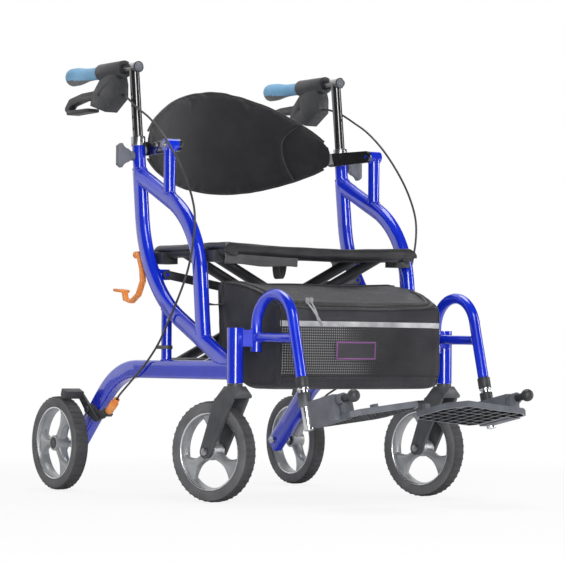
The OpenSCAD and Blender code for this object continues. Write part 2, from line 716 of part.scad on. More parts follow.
// Axle bolt through the rear leg, with its spacer, and its nut inside the leg
module rear_axle_bolt() color("silver") {
    wheel_in = tyre_x - tyre_w / 2;
    cross_rod(rear_axle, axle_d, inner_face_x - 5, tyre_x + tyre_w / 2 - 4);
    cross_rod(rear_axle, axle_d + 8, outer_face_x, wheel_in - pass_gap);
    cross_rod(rear_axle, axle_d + 6, inner_face_x - 6, inner_face_x);
}

module front_axle_bolt() color("silver") {
    p = [front_axle_y, axle_z];
    reach = tyre_w / 2 + fork_gap + fork_wall;
    cross_rod(p, axle_d, frame_x - reach, frame_x + reach);
    for (s = [-1, 1]) cross_rod(p, axle_d + 5, frame_x + (s > 0 ? reach : -reach - 4), frame_x + (s > 0 ? reach + 4 : -reach));
}

module caster_fork() color("#2b2b2e") {
    crown_z = wheel_d + crown_gap;
    crown_mid = [head_y, crown_z + crown_h / 2];
    axle = [front_axle_y, axle_z];
    crown_d = tyre_w + 2 * fork_gap + 2 * fork_wall + 24;
    // Two legs and a crown that narrows to the bearing
    intersection() {
        union() {
            side_plane() difference() {
                for (s = [0, 1]) translate([0, 0, s > 0 ? tyre_w / 2 + fork_gap : -tyre_w / 2 - fork_gap - fork_wall])
                    linear_extrude(fork_wall) link2d(axle, 14, crown_mid + [6, -8], 22);
                translate([axle[0], axle[1], -60]) cylinder(d = axle_d, h = 120);
            }
            side_plane() intersection() {
                linear_extrude(tyre_w + 2 * fork_gap + 2 * fork_wall, center = true)
                    link2d(crown_mid + [6, -8], 22, crown_mid, 24);
                translate([head_y - 60, crown_z, -60]) cube([120, crown_h, 120]);
            }
        }
        union() {
            translate([frame_x, head_y, crown_z]) cylinder(d1 = crown_d, d2 = head_d + 10, h = crown_h);
            translate([frame_x - 100, head_y - 200, 0]) cube([200, 400, crown_z]);
        }
    }
    translate([frame_x, head_y, crown_z + crown_h]) cylinder(d = head_d - 2, h = bearing_h - pass_gap);
    translate([frame_x, head_y, crown_z + crown_h]) cylinder(d = stem_d, h = bearing_h + head_h - 16);
}

// Footrests

// Rod of diameter d along the footrest's front leg, from distance s0 to s1 below the bend
module leg_rod(d, s0, s1) side_plane(hanger_x) translate([leg_at(s0)[0], leg_at(s0)[1], 0])
    rotate([0, 0, heading([0, 0], lean_dir)]) rotate([0, 90, 0]) cylinder(d = d, h = s1 - s0);

// Bent footrest tube with its crossbar, bracket and pivot sleeve
module footrest_tube() color("mediumblue") difference() {
    union() {
        side_plane(hanger_x) {
            straight_tube([hanger_y, hanger_foot_z], [hanger_y, arch[1]], hanger_d, hanger_d, hanger_d / 2);
            translate([arch[0], arch[1], 0]) rotate_extrude(angle = 180 - hanger_lean)
                translate([hanger_r, 0]) circle(d = hanger_d);
            straight_tube([hanger_y, head_top_z + 19], leg_at(40), hanger_d - 3, hanger_d - 3, (hanger_d - 3) / 2);
        }
        leg_rod(hanger_d, 0, hanger_leg);
        translate([frame_x, head_y, head_top_z + pass_gap]) cylinder(d = head_d, h = pivot_sleeve_h);
        translate([0, 0, head_top_z + pass_gap]) linear_extrude(pivot_sleeve_h - 4)
            polygon([
                [frame_x, head_y - 9], [frame_x, head_y + 9], [hanger_x, hanger_y + 8], [hanger_x, hanger_y - 8]
            ]);
    }
    translate([frame_x, head_y, head_top_z - 1]) cylinder(d = pivot_pin_d + 2 * run_gap, h = pivot_sleeve_h - 5);
    leg_rod(slider_d + 2 * run_gap, hanger_leg - slider_insert - 12, hanger_leg + 1);
}

module sliding_tube() color("silver") leg_rod(slider_d, hanger_leg - slider_insert, hanger_leg + slider_drop);

// Draws in the footplate's frame: x towards the middle of the chair, -y forwards along the hinge
module plate_frame() translate([plate_hinge_x, hinge_foot[0], hinge_foot[1]])
    rotate([-plate_pitch, 0, 0]) mirror([1, 0, 0]) children();

// Clamp on the sliding tube and the hinge block ahead of it
module hinge_housing() color("#55585c") difference() {
    union() {
        leg_rod(slider_d + 7, hanger_leg + slider_gap, hanger_leg + slider_gap + clamp_l);
        plate_frame() translate([-housing_w / 2, -housing_l, -housing_down])
            cube([housing_w, housing_l, housing_down + housing_up]);
    }
    leg_rod(slider_d, 0, hanger_leg + slider_drop + 40);
    plate_frame() translate([0, -housing_l + 40, 0]) rotate([90, 0, 0]) cylinder(d = plunger_d + 2 * run_gap, h = 80);
}

module release_plunger() color("#2b2b2e") plate_frame() {
    translate([0, -housing_l + 20, 0]) rotate([90, 0, 0]) cylinder(d = plunger_d, h = ball_f - housing_l + 20);
    translate([0, -ball_f, 0]) sphere(d = ball_d);
}

// Footplate outline, as [towards the middle, forwards], notched round the hinge block
plate_front_f = plate_rear_f + plate_l;
block_v = housing_w / 2 + 1;
plate_outline = [
    [block_v + 12, plate_rear_f], [plate_reach - 14, plate_rear_f], [plate_reach, plate_rear_f + 16],
    [plate_reach, plate_front_f - 42], [plate_reach - 24, plate_front_f], [10, plate_front_f],
    [-6, plate_front_f - 14], [-6, housing_l + 1.5], [block_v, housing_l + 1.5], [block_v, plate_rear_f + 20]
];
module plate_flat() polygon([for (p = plate_outline) [p[0], -p[1]]]);
module plate_inner() intersection_for (d = [[3, 3], [-3, 3], [3, -3], [-3, -3]]) translate(d) plate_flat();

// Draws in the footplate's own frame, canted towards the middle
module canted_plate() plate_frame() rotate([0, -plate_cant, 0]) children();

// Tread plate that turns about the plunger, with its hinge lug and heel stop
lug_l = 14;
heel_stop = 12;
module footplate() color("#3a3c40") canted_plate() {
    translate([0, 0, -plate_drop - plate_skin]) linear_extrude(plate_skin) plate_flat();
    difference() {
        translate([0, -lug_f, 0]) rotate([90, 0, 0]) linear_extrude(lug_l) {
            circle(plunger_d / 2 + 4);
            translate([-5, -plate_drop - 1]) square([plunger_d + 8, plate_drop + 1]);
        }
        translate([0, -lug_f + 1, 0]) rotate([90, 0, 0]) cylinder(d = plunger_d + 2 * run_gap, h = lug_l + 2);
    }
    translate([plate_reach - 30, -plate_rear_f - 22, -plate_drop - 1]) cube([heel_stop, heel_stop, 18]);
}

// Rim and crossed ribs under the tread plate
rib_t = 2;
module plate_ribs() color("#3a3c40") canted_plate() translate([0, 0, -plate_drop - plate_t])
    linear_extrude(plate_t - plate_skin) {
        difference() {
            plate_flat();
            plate_inner();
        }
        intersection() {
            plate_flat();
            union() {
                for (k = [1:7]) translate([(k * plate_reach - 4 * rib_t) / 8, -plate_front_f]) square([rib_t, plate_l]);
                for (k = [1:5]) translate([-6, -plate_rear_f - (k * plate_l + 3 * rib_t) / 6])
                    square([plate_reach + 6, rib_t]);
            }
        }
    }

// Fold stay: flat bar from the rear tube to the brace's seat, turning on its frame pivot
module fold_stay() color("#1d1d1f") difference() {
    translate([0, stay_y + stay_t / 2, 0]) rotate([90, 0, 0]) union() {
        linear_extrude(stay_t) link2d([stay_x, stay_z], 9, stay_end, 9.01);
        translate([stay_x, stay_z, 0]) cylinder(r = 9, h = stay_t);
    }
    long_rod(stay_end[0], stay_end[1], 8, stay_y - 10, stay_y + 10);
    long_rod(stay_x, stay_z, stay_pin_d + 2 * run_gap, stay_y - 10, stay_y + 10);
}

// Scissor brace

// One half of the scissor: lower tube on the near side, two crossing tubes and the far seat rail.
// Side +1 has its lower hinge on the left frame and its rail on the right.
module brace_half_frame(side, ys) difference() {
    union() {
        long_rod(side * rail_x, hinge_z, rail_d, hinge_front_y, hinge_rear_y);
        long_rod(-side * rail_x, rail_z, rail_d, rail_front_y, rail_rear_y);
        for (y = ys) translate([side * rail_x, y, hinge_z]) rotate([0, -side * (90 - brace_angle), 0])
            cylinder(d = rail_d, h = 2 * brace_half);
        long_rod(-side * stay_end[0], stay_end[1], 16, ys[1], stay_y - stay_t / 2 - pass_gap);
    }
    long_rod(side * rail_x, hinge_z, hinge_rod_d + 2 * run_gap, hinge_front_y - 1, hinge_rear_y + 1);
    for (y = ys) long_rod(0, cross_z, cross_bolt_d + 2 * run_gap, y - rail_d, y + rail_d);
}

module cross_brace_a() color("#232326") translate([0, -y_mid, 0]) brace_half_frame(-1, brace_ys(true));
module cross_brace_b() color("#232326") translate([0, -y_mid, 0]) brace_half_frame(1, brace_ys(false));

// Bolts through the two crossings
module cross_bolts() color("silver") translate([0, -y_mid, 0]) for (y = [cross_front_y, cross_rear_y]) {
    reach = pair_gap / 2 + rail_d / 2 + 1;
    long_rod(0, cross_z, cross_bolt_d, y - reach - 4, y + reach + 4);
    for (e = [y - reach - 5, y + reach]) long_rod(0, cross_z, cross_bolt_d + 7, e, e + 5);
}

// Sling between the rails
seat_under = rail_z + rail_d / 2 + pass_gap;
seat_half = rail_x + rail_d / 2 - 2;
seat_front_y = rail_front_y + 16;
seat_rear_y = rail_rear_y - 4;
seat_steps = 20;
function seat_drop(x) = seat_sag * max(0, 1 - pow(x / (rail_x - rail_d / 2 - 5), 2));

// Band that sags to the middle, between two heights above the seat's underside
module sling_band(half, low, high, y0, y1) translate([0, y1, 0]) rotate([90, 0, 0]) linear_extrude(y1 - y0)
    polygon([
        for (top = [0, 1], i = [0:seat_steps])
            let (x = half * (1 - 2 * (top ? seat_steps - i : i) / seat_steps))
            [x, seat_under - seat_drop(x) + (top ? high : low)]
    ]);

// Sagging panel with its rolled front edge and the flap that hangs under it
module seat_panel() color("#1c1c1e") translate([0, -y_mid, 0]) {
    flap_half = rail_x - rail_d / 2 - 1;
    nose = 9;
    sling_band(seat_half, 0, seat_t, seat_front_y, seat_rear_y);
    sling_band(flap_half, -12, seat_t - 0.5, seat_front_y - nose, seat_front_y + 4);
    sling_band(flap_half - 1, seat_t - flap_h, seat_t - 2, seat_front_y - nose + 2, seat_front_y - nose + 6);
}

// Webbing loop under the seat that is pulled up to fold the chair
module fold_strap() color("#161617") translate([0, -y_mid, 0]) {
    strap_w = 25;
    strap_t = 3;
    loop_w = 26;
    loop_x = -92;
    loop_z = bag_bottom_z + bag_h + strap_t;
    strap_y = cross_front_y - pair_gap - 40;
    for (x = [loop_x, loop_x + loop_w - strap_t])
        translate([x, strap_y, loop_z]) cube([strap_t, strap_w, seat_under - seat_drop(x + strap_t) - loop_z]);
    translate([loop_x, strap_y, loop_z]) cube([loop_w, strap_w, strap_t]);
}

// Back strap

// Flat arm on the inside of the pivot stub
module strap_arm() color("#232326") difference() {
    tip = strap_pivot + [strap_arm_l, 0];
    union() {
        side_plane(strap_x) linear_extrude(strap_arm_t) link2d(strap_pivot, strap_arm_h / 2 - 2, tip, strap_arm_h / 2);
        cross_rod(strap_pivot, strap_arm_h - 4, strap_x, strap_x + strap_arm_t);
    }
    cross_rod(strap_pivot, strap_bolt_d + 2 * run_gap, inner_face_x - 20, inner_face_x + 20);
}

// Bow-tie pad, bent to the rear on an arc between the two arms, thickest along its middle
pad_half = strap_x - pass_gap - 0.4 * pad_end_t;
pad_r = (pad_half * pad_half + pad_bow * pad_bow) / (2 * pad_bow);
pad_swing = asin(pad_half / pad_r);
pad_end_y = strap_pivot_y + strap_arm_l - 5;
pad_end_z = strap_pivot_z + 6;
pad_lift = 25;
pad_cols = 24;
pad_rows = 8;
// Share of the full height at angle a
function pad_share(a) = pow(max(0, cos(90 * a / pad_swing)), 0.8);
function pad_half_h(a) = pad_end_h / 2 + (pad_h - pad_end_h) / 2 * pad_share(a);
function pad_half_t(a, v) =
    (pad_end_t + (pad_t - pad_end_t) * sqrt(pad_share(a))) / 2 * (0.3 + 0.7 * sqrt(max(0, 1 - v * v)));
function pad_point(a, v, side) =
    let (r = pad_r + side * pad_half_t(a, v))
    [r * sin(a), pad_end_y + pad_bow - pad_r + r * cos(a), pad_end_z + pad_lift * pad_share(a) + v * pad_half_h(a)];
// Corner number of the pad's grid, and a four-sided face as two triangles
function pad_at(side, i, j) = (side * (pad_cols + 1) + i) * (pad_rows + 1) + j;
function quad(a, b, c, d) = [[a, b, c], [a, c, d]];
module back_pad() color("#1f1f22") translate([0, -y_mid, 0]) {
    points = [
        for (side = [-1, 1], i = [0:pad_cols], j = [0:pad_rows])
            pad_point(pad_swing * (2 * i / pad_cols - 1), 2 * j / pad_rows - 1, side)
    ];
    faces = concat(
        [for (i = [0:pad_cols - 1], j = [0:pad_rows - 1])
            each quad(pad_at(0, i, j), pad_at(0, i, j + 1), pad_at(0, i + 1, j + 1), pad_at(0, i + 1, j))],
        [for (i = [0:pad_cols - 1], j = [0:pad_rows - 1])
            each quad(pad_at(1, i, j), pad_at(1, i + 1, j), pad_at(1, i + 1, j + 1), pad_at(1, i, j + 1))],
        [for (i = [0:pad_cols - 1])
            each quad(pad_at(0, i, 0), pad_at(0, i + 1, 0), pad_at(1, i + 1, 0), pad_at(1, i, 0))],
        [for (i = [0:pad_cols - 1])
            each quad(pad_at(0, i, pad_rows), pad_at(1, i, pad_rows), pad_at(1, i + 1, pad_rows), pad_at(0, i + 1, pad_rows))],
        [for (j = [0:pad_rows - 1])
            each quad(pad_at(0, 0, j), pad_at(1, 0, j), pad_at(1, 0, j + 1), pad_at(0, 0, j + 1))],
        [for (j = [0:pad_rows - 1])
            each quad(pad_at(0, pad_cols, j), pad_at(0, pad_cols, j + 1), pad_at(1, pad_cols, j + 1), pad_at(1, pad_cols, j))]
    );
    polyhedron(points = points, faces = faces);
}

// Bag

bag_w = 2 * (inner_face_x - bag_gap);
bag_l = bag_rear_y - bag_front_y;
bag_top_z = bag_bottom_z + bag_h;
bag_steps = 6;

// Half width of the bag at y
function bag_half(y) = bag_w / 2 - bag_taper * (bag_rear_y - y) / bag_l;

// Plan of the bag, narrower at the front, with round corners
module bag_plan() polygon([
    for (q = [0:3], k = [0:bag_steps])
        let (sx = q == 0 || q == 3 ? 1 : -1, y = q < 2 ? bag_rear_y : bag_front_y)
        [sx * (bag_half(y) - bag_corner), y + (q < 2 ? -bag_corner : bag_corner)]
            + bag_corner * unit(90 * (q + k / bag_steps))
]);

// Side view of the bag: upright rear, lid that falls to the front, bottom that rises to the rear
module bag_section() polygon(concat(
    [[bag_rear_y, bag_bottom_z + bag_rear_lift]],
    [for (k = [0:bag_steps]) let (s = k / bag_steps) [bag_rear_y - bag_l * s, bag_top_z - bag_lid_fall * pow(s, 2.5)]],
    [[bag_front_y, bag_bottom_z + bag_corner], [bag_front_y + bag_corner, bag_bottom_z],
        [bag_front_y + bag_l / 2, bag_bottom_z]]
));

// Soft bag with round edges and webbing tabs to the side frames
module tote_bag() color("#1b1b1d") translate([0, -y_mid, 0]) {
    intersection() {
        translate([0, 0, bag_bottom_z - 1]) linear_extrude(bag_h + 2) bag_plan();
        rotate([90, 0, 90]) linear_extrude(bag_w + 2, center = true) bag_section();
        translate([0, bag_rear_y + 1, bag_bottom_z + bag_h / 2]) rotate([90, 0, 0])
            linear_extrude(bag_l + 2) round_rect(bag_w, bag_h, bag_corner);
    }
    tab_w = 24;
    tab_y = arm_tube_y(bag_top_z - 40) - tab_w / 2;
    tab_from = bag_half(tab_y) - 3;
    tab_to = inner_face_x - pass_gap;
    for (s = [0, 1]) mirror([s, 0, 0]) translate([tab_from, tab_y, bag_top_z - 52])
        cube([tab_to - tab_from, tab_w, 3]);
}

// Hook on the rear of the right rear tube, with its button
module crutch_hook() color("#f08a3c") {
    top_z = rail_z - 3;
    shank = [rear_face_y(top_z) + 1.6, top_z];
    neck = [rear_face_y(top_z - 30) + 1.6, top_z - 30];
    hook_w = 12;
    side_plane(frame_x + 7) linear_extrude(hook_w, center = true) {
        link2d(shank, 3, neck, 2.9);
        link2d(neck, 3, neck + [-3, -26], 2.9);
        link2d(neck + [-3, -26], 3, neck + [14, -54], 2.9);
        link2d(neck + [14, -54], 3, neck + [42, -69], 2.9);
        link2d(neck + [42, -69], 3, neck + [66, -63], 2.9);
        link2d(neck + [66, -63], 3, neck + [71, -46], 2.9);
    }
    side_plane(frame_x + 7) linear_extrude(hook_w + 10, center = true)
        link2d(neck + [71, -46], 3, neck + [98, -43], 2.9);
    translate([frame_x + 7, shank[0] + 14, top_z]) rotate([90, 0, 0]) cylinder(d = 15, h = 14);
}

on_right() side_frame();  // right_side_frame
on_left() side_frame();  // left_side_frame
on_right() seat_saddles();  // right_seat_saddles
on_left() seat_saddles();  // left_seat_saddles
on_right() post_collar();  // right_post_collar
on_left() post_collar();  // left_post_collar
on_right() handle_post();  // right_handle_post
on_left() handle_post();  // left_handle_post
on_right() grip();  // right_grip
on_left() grip();  // left_grip
on_right() brake_housing();  // right_brake_housing
on_left() brake_housing();  // left_brake_housing
on_right() brake_lever();  // right_brake_lever
on_left() brake_lever();  // left_brake_lever
on_right() clamp_knob();  // right_clamp_knob
on_left() clamp_knob();  // left_clamp_knob
on_right() brake_cable();  // right_brake_cable
on_left() brake_cable();  // left_brake_cable
on_right() brake_bracket();  // right_brake_bracket
on_left() brake_bracket();  // left_brake_bracket
on_right() cable_adjuster();  // right_cable_adjuster
on_left() cable_adjuster();  // left_cable_adjuster
on_right() brake_arm();  // right_brake_arm
on_left() brake_arm();  // left_brake_arm
on_right() rear_wheel_place() rim(90);  // right_rear_rim
on_left() rear_wheel_place() rim(90);  // left_rear_rim
on_right() rear_wheel_place() tyre();  // right_rear_tyre
on_left() rear_wheel_place() tyre();  // left_rear_tyre
on_right() rear_axle_bolt();  // right_rear_axle
on_left() rear_axle_bolt();  // left_rear_axle
on_right() caster_turn(-right_swivel) front_wheel_place() rim(180);  // right_front_rim
on_left() caster_turn(left_swivel) front_wheel_place() rim(180);  // left_front_rim
on_right() caster_turn(-right_swivel) front_wheel_place() tyre();  // right_front_tyre
on_left() caster_turn(left_swivel) front_wheel_place() tyre();  // left_front_tyre
on_right() caster_turn(-right_swivel) front_axle_bolt();  // right_front_axle
on_left() caster_turn(left_swivel) front_axle_bolt();  // left_front_axle
on_right() caster_turn(-right_swivel) caster_fork();  // right_caster_fork
on_left() caster_turn(left_swivel) caster_fork();  // left_caster_fork
on_right() footrest_tube();  // right_footrest_tube
on_left() footrest_tube();  // left_footrest_tube
on_right() sliding_tube();  // right_sliding_tube
on_left() sliding_tube();  // left_sliding_tube
on_right() hinge_housing();  // right_hinge_housing
on_left() hinge_housing();  // left_hinge_housing
on_right() footplate();  // right_footplate
on_left() footplate();  // left_footplate
on_right() plate_ribs();  // right_plate_ribs
on_left() plate_ribs();  // left_plate_ribs
on_right() release_plunger();  // right_plunger
on_left() release_plunger();  // left_plunger
on_right() strap_arm();  // right_strap_arm
on_left() strap_arm();  // left_strap_arm
on_right() fold_stay();  // right_fold_stay
on_left() fold_stay();  // left_fold_stay
cross_brace_a();
cross_brace_b();
cross_bolts();
seat_panel();
fold_strap();
back_pad();
tote_bag();
on_right() crutch_hook();
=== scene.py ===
import json
import math

import bmesh
import bpy
from mathutils import Matrix, Vector, noise
from mathutils.bvhtree import BVHTree
from mathutils.kdtree import KDTree

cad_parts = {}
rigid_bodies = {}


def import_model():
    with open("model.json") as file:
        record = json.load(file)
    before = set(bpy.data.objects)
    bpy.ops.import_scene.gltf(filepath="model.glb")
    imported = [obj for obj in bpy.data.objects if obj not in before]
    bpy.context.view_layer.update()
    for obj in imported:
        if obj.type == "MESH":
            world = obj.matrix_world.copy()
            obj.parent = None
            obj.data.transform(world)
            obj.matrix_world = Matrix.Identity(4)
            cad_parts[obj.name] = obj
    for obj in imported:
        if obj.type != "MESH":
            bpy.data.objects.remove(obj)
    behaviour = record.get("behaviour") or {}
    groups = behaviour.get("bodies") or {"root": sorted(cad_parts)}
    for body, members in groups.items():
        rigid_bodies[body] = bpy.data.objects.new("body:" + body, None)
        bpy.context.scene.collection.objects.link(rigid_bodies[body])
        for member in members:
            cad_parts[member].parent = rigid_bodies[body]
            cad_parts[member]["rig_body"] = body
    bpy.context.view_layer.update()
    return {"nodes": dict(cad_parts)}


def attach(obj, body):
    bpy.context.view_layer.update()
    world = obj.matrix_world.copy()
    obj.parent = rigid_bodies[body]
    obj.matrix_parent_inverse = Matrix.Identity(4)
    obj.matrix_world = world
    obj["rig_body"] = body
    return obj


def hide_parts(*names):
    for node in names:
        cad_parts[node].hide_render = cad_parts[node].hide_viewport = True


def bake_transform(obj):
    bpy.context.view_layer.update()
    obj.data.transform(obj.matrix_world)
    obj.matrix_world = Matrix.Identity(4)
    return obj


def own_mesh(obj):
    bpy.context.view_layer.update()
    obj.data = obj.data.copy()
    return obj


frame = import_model()
scene = bpy.context.scene
scene.view_settings.view_transform = "Standard"
sides = (("right", -1), ("left", 1))
tubeX = 0.263  # middle of a side frame's tubes
handleZ = 0.905
print("frame loaded:", len(frame["nodes"]), "nodes")


# small tools for meshes; a shape is a pair of points and faces

def newObject(name, data):
    obj = bpy.data.objects.new(name, data)
    scene.collection.objects.link(obj)
    return obj


def smooth(mesh, angle):
    mesh.polygons.foreach_set("use_smooth", [True] * len(mesh.polygons))
    mesh.set_sharp_from_angle(angle=math.radians(angle))


def plainMesh(name, verts, edges, faces):
    mesh = bpy.data.meshes.new(name)
    mesh.from_pydata([tuple(v) for v in verts], edges, faces)
    return mesh


def meshObject(name, shape, mat, angle=35):
    mesh = plainMesh(name, shape[0], [], shape[1])
    mesh.materials.append(mat)
    bm = bmesh.new()
    bm.from_mesh(mesh)
    bmesh.ops.remove_doubles(bm, verts=bm.verts, dist=1e-6)
    bmesh.ops.recalc_face_normals(bm, faces=bm.faces)
    bm.to_mesh(mesh)
    bm.free()
    smooth(mesh, angle)
    return newObject(name, mesh)


def place(obj, body, slot, *replaced):
    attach(obj, body)
    if replaced:
        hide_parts(*replaced)
    return obj


def squash(obj):
    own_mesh(obj)
    return obj


def onSide(point, sign):
    return Vector((sign * point[0], point[1], point[2]))


def baked(obj):
    graph = bpy.context.evaluated_depsgraph_get()
    return bpy.data.meshes.new_from_object(obj.evaluated_get(graph))


def paintFaces(obj, mat, chosen):
    obj.data.materials.append(mat)
    index = len(obj.data.materials) - 1
    for poly in obj.data.polygons:
        if chosen(poly):
            poly.material_index = index


def circle(count):
    turns = [2 * math.pi * k / count for k in range(count)]
    return [(math.cos(t), math.sin(t)) for t in turns]


def gridFaces(cols, rows):
    n = rows + 1
    corners = [i * n + j for i in range(cols) for j in range(rows)]
    return [(a, a + n, a + n + 1, a + 1) for a in corners]


def grid(cols, rows, point):
    verts = [point(i / cols, j / rows) for i in range(cols + 1) for j in range(rows + 1)]
    return verts, gridFaces(cols, rows)


def ripple(x, y, z):
    return noise.noise(Vector((x, y, z)))


def loft(rings, ends=True, closed=False):
    n = len(rings[0])
    count = len(rings)
    faces = []
    for k in range(count if closed else count - 1):
        near = k * n
        far = (k + 1) % count * n
        faces += [(near + i, near + (i + 1) % n, far + (i + 1) % n, far + i) for i in range(n)]
    if ends:
        faces += [tuple(range(n - 1, -1, -1)), tuple(range((count - 1) * n, count * n))]
    return [p for ring in rings for p in ring], faces


def lathe(profile, centre, segs):
    x, y, z = centre
    rings = [[(x + a, y + r * c, z + r * s) for r, a in profile] for c, s in circle(segs)]
    return loft(rings, False, True)


def bothSides(half):
    return half + [(r, -a) for r, a in reversed(half) if a]


def joined(*parts):
    verts = []
    faces = []
    for v, f in parts:
        base = len(verts)
        verts += list(v)
        faces += [tuple(i + base for i in face) for face in f]
    return verts, faces


def curveThrough(points, steps):
    line = [Vector(p) for p in points]
    out = []
    for i in range(len(line) - 1):
        a = line[max(0, i - 1)]
        b = line[i]
        c = line[i + 1]
        d = line[min(len(line) - 1, i + 2)]
        for k in range(steps):
            t = k / steps
            out.append(0.5 * (2 * b + (c - a) * t + (2 * a - 5 * b + 4 * c - d) * t * t
                              + (3 * b - a - 3 * c + d) * t ** 3))
    out.append(line[-1])
    return out


def cadCopy(node):
    source = frame["nodes"][node].data
    bm = bmesh.new()
    verts = [bm.verts.new(v.co) for v in source.vertices]
    for poly in source.polygons:
        if len(set(poly.vertices)) == 3:
            try:
                bm.faces.new([verts[i] for i in poly.vertices])
            except ValueError:
                continue
    bmesh.ops.remove_doubles(bm, verts=bm.verts, dist=2e-5)
    bmesh.ops.recalc_face_normals(bm, faces=bm.faces)
    bmesh.ops.dissolve_limit(bm, angle_limit=0.012, verts=bm.verts, edges=bm.edges)
    return bm


def sharpEdges(bm, degrees):
    limit = math.radians(degrees)
    return [e for e in bm.edges if len(e.link_faces) == 2 and e.calc_face_angle(0) > limit]


def dress(node, mat, slot, bevel=0.0):
    bm = cadCopy(node)
    if bevel:
        bmesh.ops.bevel(bm, geom=sharpEdges(bm, 32), offset=bevel, offset_type="OFFSET", segments=2,
                        profile=0.5, affect="EDGES", clamp_overlap=True)
    mesh = bpy.data.meshes.new(node + "_finish")
    bm.to_mesh(mesh)
    bm.free()
    mesh.materials.append(mat)
    smooth(mesh, 34)
    obj = newObject(node + "_finish", mesh)
    return place(obj, frame["nodes"][node]["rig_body"], slot, node)


# node trees: tubes along a line, rows along a line, bolts on points, tread round a wheel

def feed(tree, socket, value):
    for source in value if isinstance(value, list) else [value]:
        if isinstance(source, bpy.types.Node):
            source = source.outputs[0]
        if isinstance(source, bpy.types.NodeSocket):
            tree.links.new(source, socket)
        else:
            socket.default_value = source


def addNode(tree, kind, inputs=None, **props):
    made = tree.nodes.new(kind)
    for key, value in props.items():
        setattr(made, key, value)
    for key, value in (inputs or {}).items():
        feed(tree, made.inputs[key], value)
    return made


def mathNode(tree, operation, *values):
    return addNode(tree, "ShaderNodeMath", dict(enumerate(values)), operation=operation)


def mapRange(tree, value, start, end, low, high, **props):
    inputs = {"Value": value, "From Min": start, "From Max": end, "To Min": low, "To Max": high}
    return addNode(tree, "ShaderNodeMapRange", inputs, **props)


def axes(tree, source):
    return addNode(tree, "ShaderNodeSeparateXYZ", {0: source}).outputs


def geoTree(name, inputs):
    tree = bpy.data.node_groups.new(name, "GeometryNodeTree")
    for label, kind in {"Geometry": "Geometry", **inputs, "Material": "Material"}.items():
        tree.interface.new_socket(label, in_out="INPUT", socket_type="NodeSocket" + kind)
    tree.interface.new_socket("Geometry", in_out="OUTPUT", socket_type="NodeSocketGeometry")
    return tree, tree.nodes.new("NodeGroupInput").outputs


def finishTree(tree, geometry, given, smoothed=True):
    realize = addNode(tree, "GeometryNodeRealizeInstances", {0: geometry})
    shade = addNode(tree, "GeometryNodeSetShadeSmooth", {0: realize, "Shade Smooth": smoothed})
    paint = addNode(tree, "GeometryNodeSetMaterial", {0: shade, "Material": given["Material"]})
    addNode(tree, "NodeGroupOutput", {0: paint})
    return tree


def aimed(tree, vector, axis):
    return addNode(tree, "FunctionNodeAlignRotationToVector", {"Vector": vector}, axis=axis)


def onPoints(tree, points, instance, rotation, size=(1, 1, 1)):
    inputs = {"Points": points, "Instance": instance, "Rotation": rotation, "Scale": size}
    return addNode(tree, "GeometryNodeInstanceOnPoints", inputs)


def makeTubeTree():
    tree, given = geoTree("tubeAlongLine", {"Radius": "Float", "Sides": "Int"})
    curve = addNode(tree, "GeometryNodeMeshToCurve", {0: given["Geometry"]})
    ring = addNode(tree, "GeometryNodeCurvePrimitiveCircle",
                   {"Radius": given["Radius"], "Resolution": given["Sides"]})
    sweep = addNode(tree, "GeometryNodeCurveToMesh",
                    {"Curve": curve, "Profile Curve": ring, "Fill Caps": True})
    return finishTree(tree, sweep, given)


def makeRowTree():
    tree, given = geoTree("rowAlongLine", {"Spacing": "Float", "Size": "Vector", "Detail": "Int"})
    curve = addNode(tree, "GeometryNodeMeshToCurve", {0: given["Geometry"]})
    steps = addNode(tree, "GeometryNodeResampleCurve", {"Curve": curve, "Length": given["Spacing"]},
                    mode="LENGTH")
    aim = aimed(tree, addNode(tree, "GeometryNodeInputTangent"), "X")
    bead = addNode(tree, "GeometryNodeMeshIcoSphere", {"Radius": 1.0, "Subdivisions": given["Detail"]})
    return finishTree(tree, onPoints(tree, steps, bead, aim, given["Size"]), given)


def makeBoltTree():
    tree, given = geoTree("boltHeads", {"Radius": "Float", "Height": "Float"})
    axis = addNode(tree, "GeometryNodeInputNamedAttribute", {"Name": "axis"}, data_type="FLOAT_VECTOR")
    domeR = mathNode(tree, "MULTIPLY", given["Radius"], 0.74)
    thin = mathNode(tree, "MULTIPLY", given["Height"], 0.5)
    washer = addNode(tree, "GeometryNodeMeshCylinder",
                     {"Vertices": 24, "Radius": given["Radius"], "Depth": thin})
    ball = addNode(tree, "GeometryNodeMeshUVSphere", {"Segments": 20, "Rings": 10, "Radius": 1.0})
    size = addNode(tree, "ShaderNodeCombineXYZ", {0: domeR, 1: domeR, 2: given["Height"]})
    dome = addNode(tree, "GeometryNodeTransform", {0: ball, "Scale": size})
    head = addNode(tree, "GeometryNodeJoinGeometry", {0: [dome, washer]})
    points = addNode(tree, "GeometryNodeMeshToPoints", {0: given["Geometry"]})
    aim = aimed(tree, axis.outputs["Attribute"], "Z")
    return finishTree(tree, onPoints(tree, points, head, aim), given)


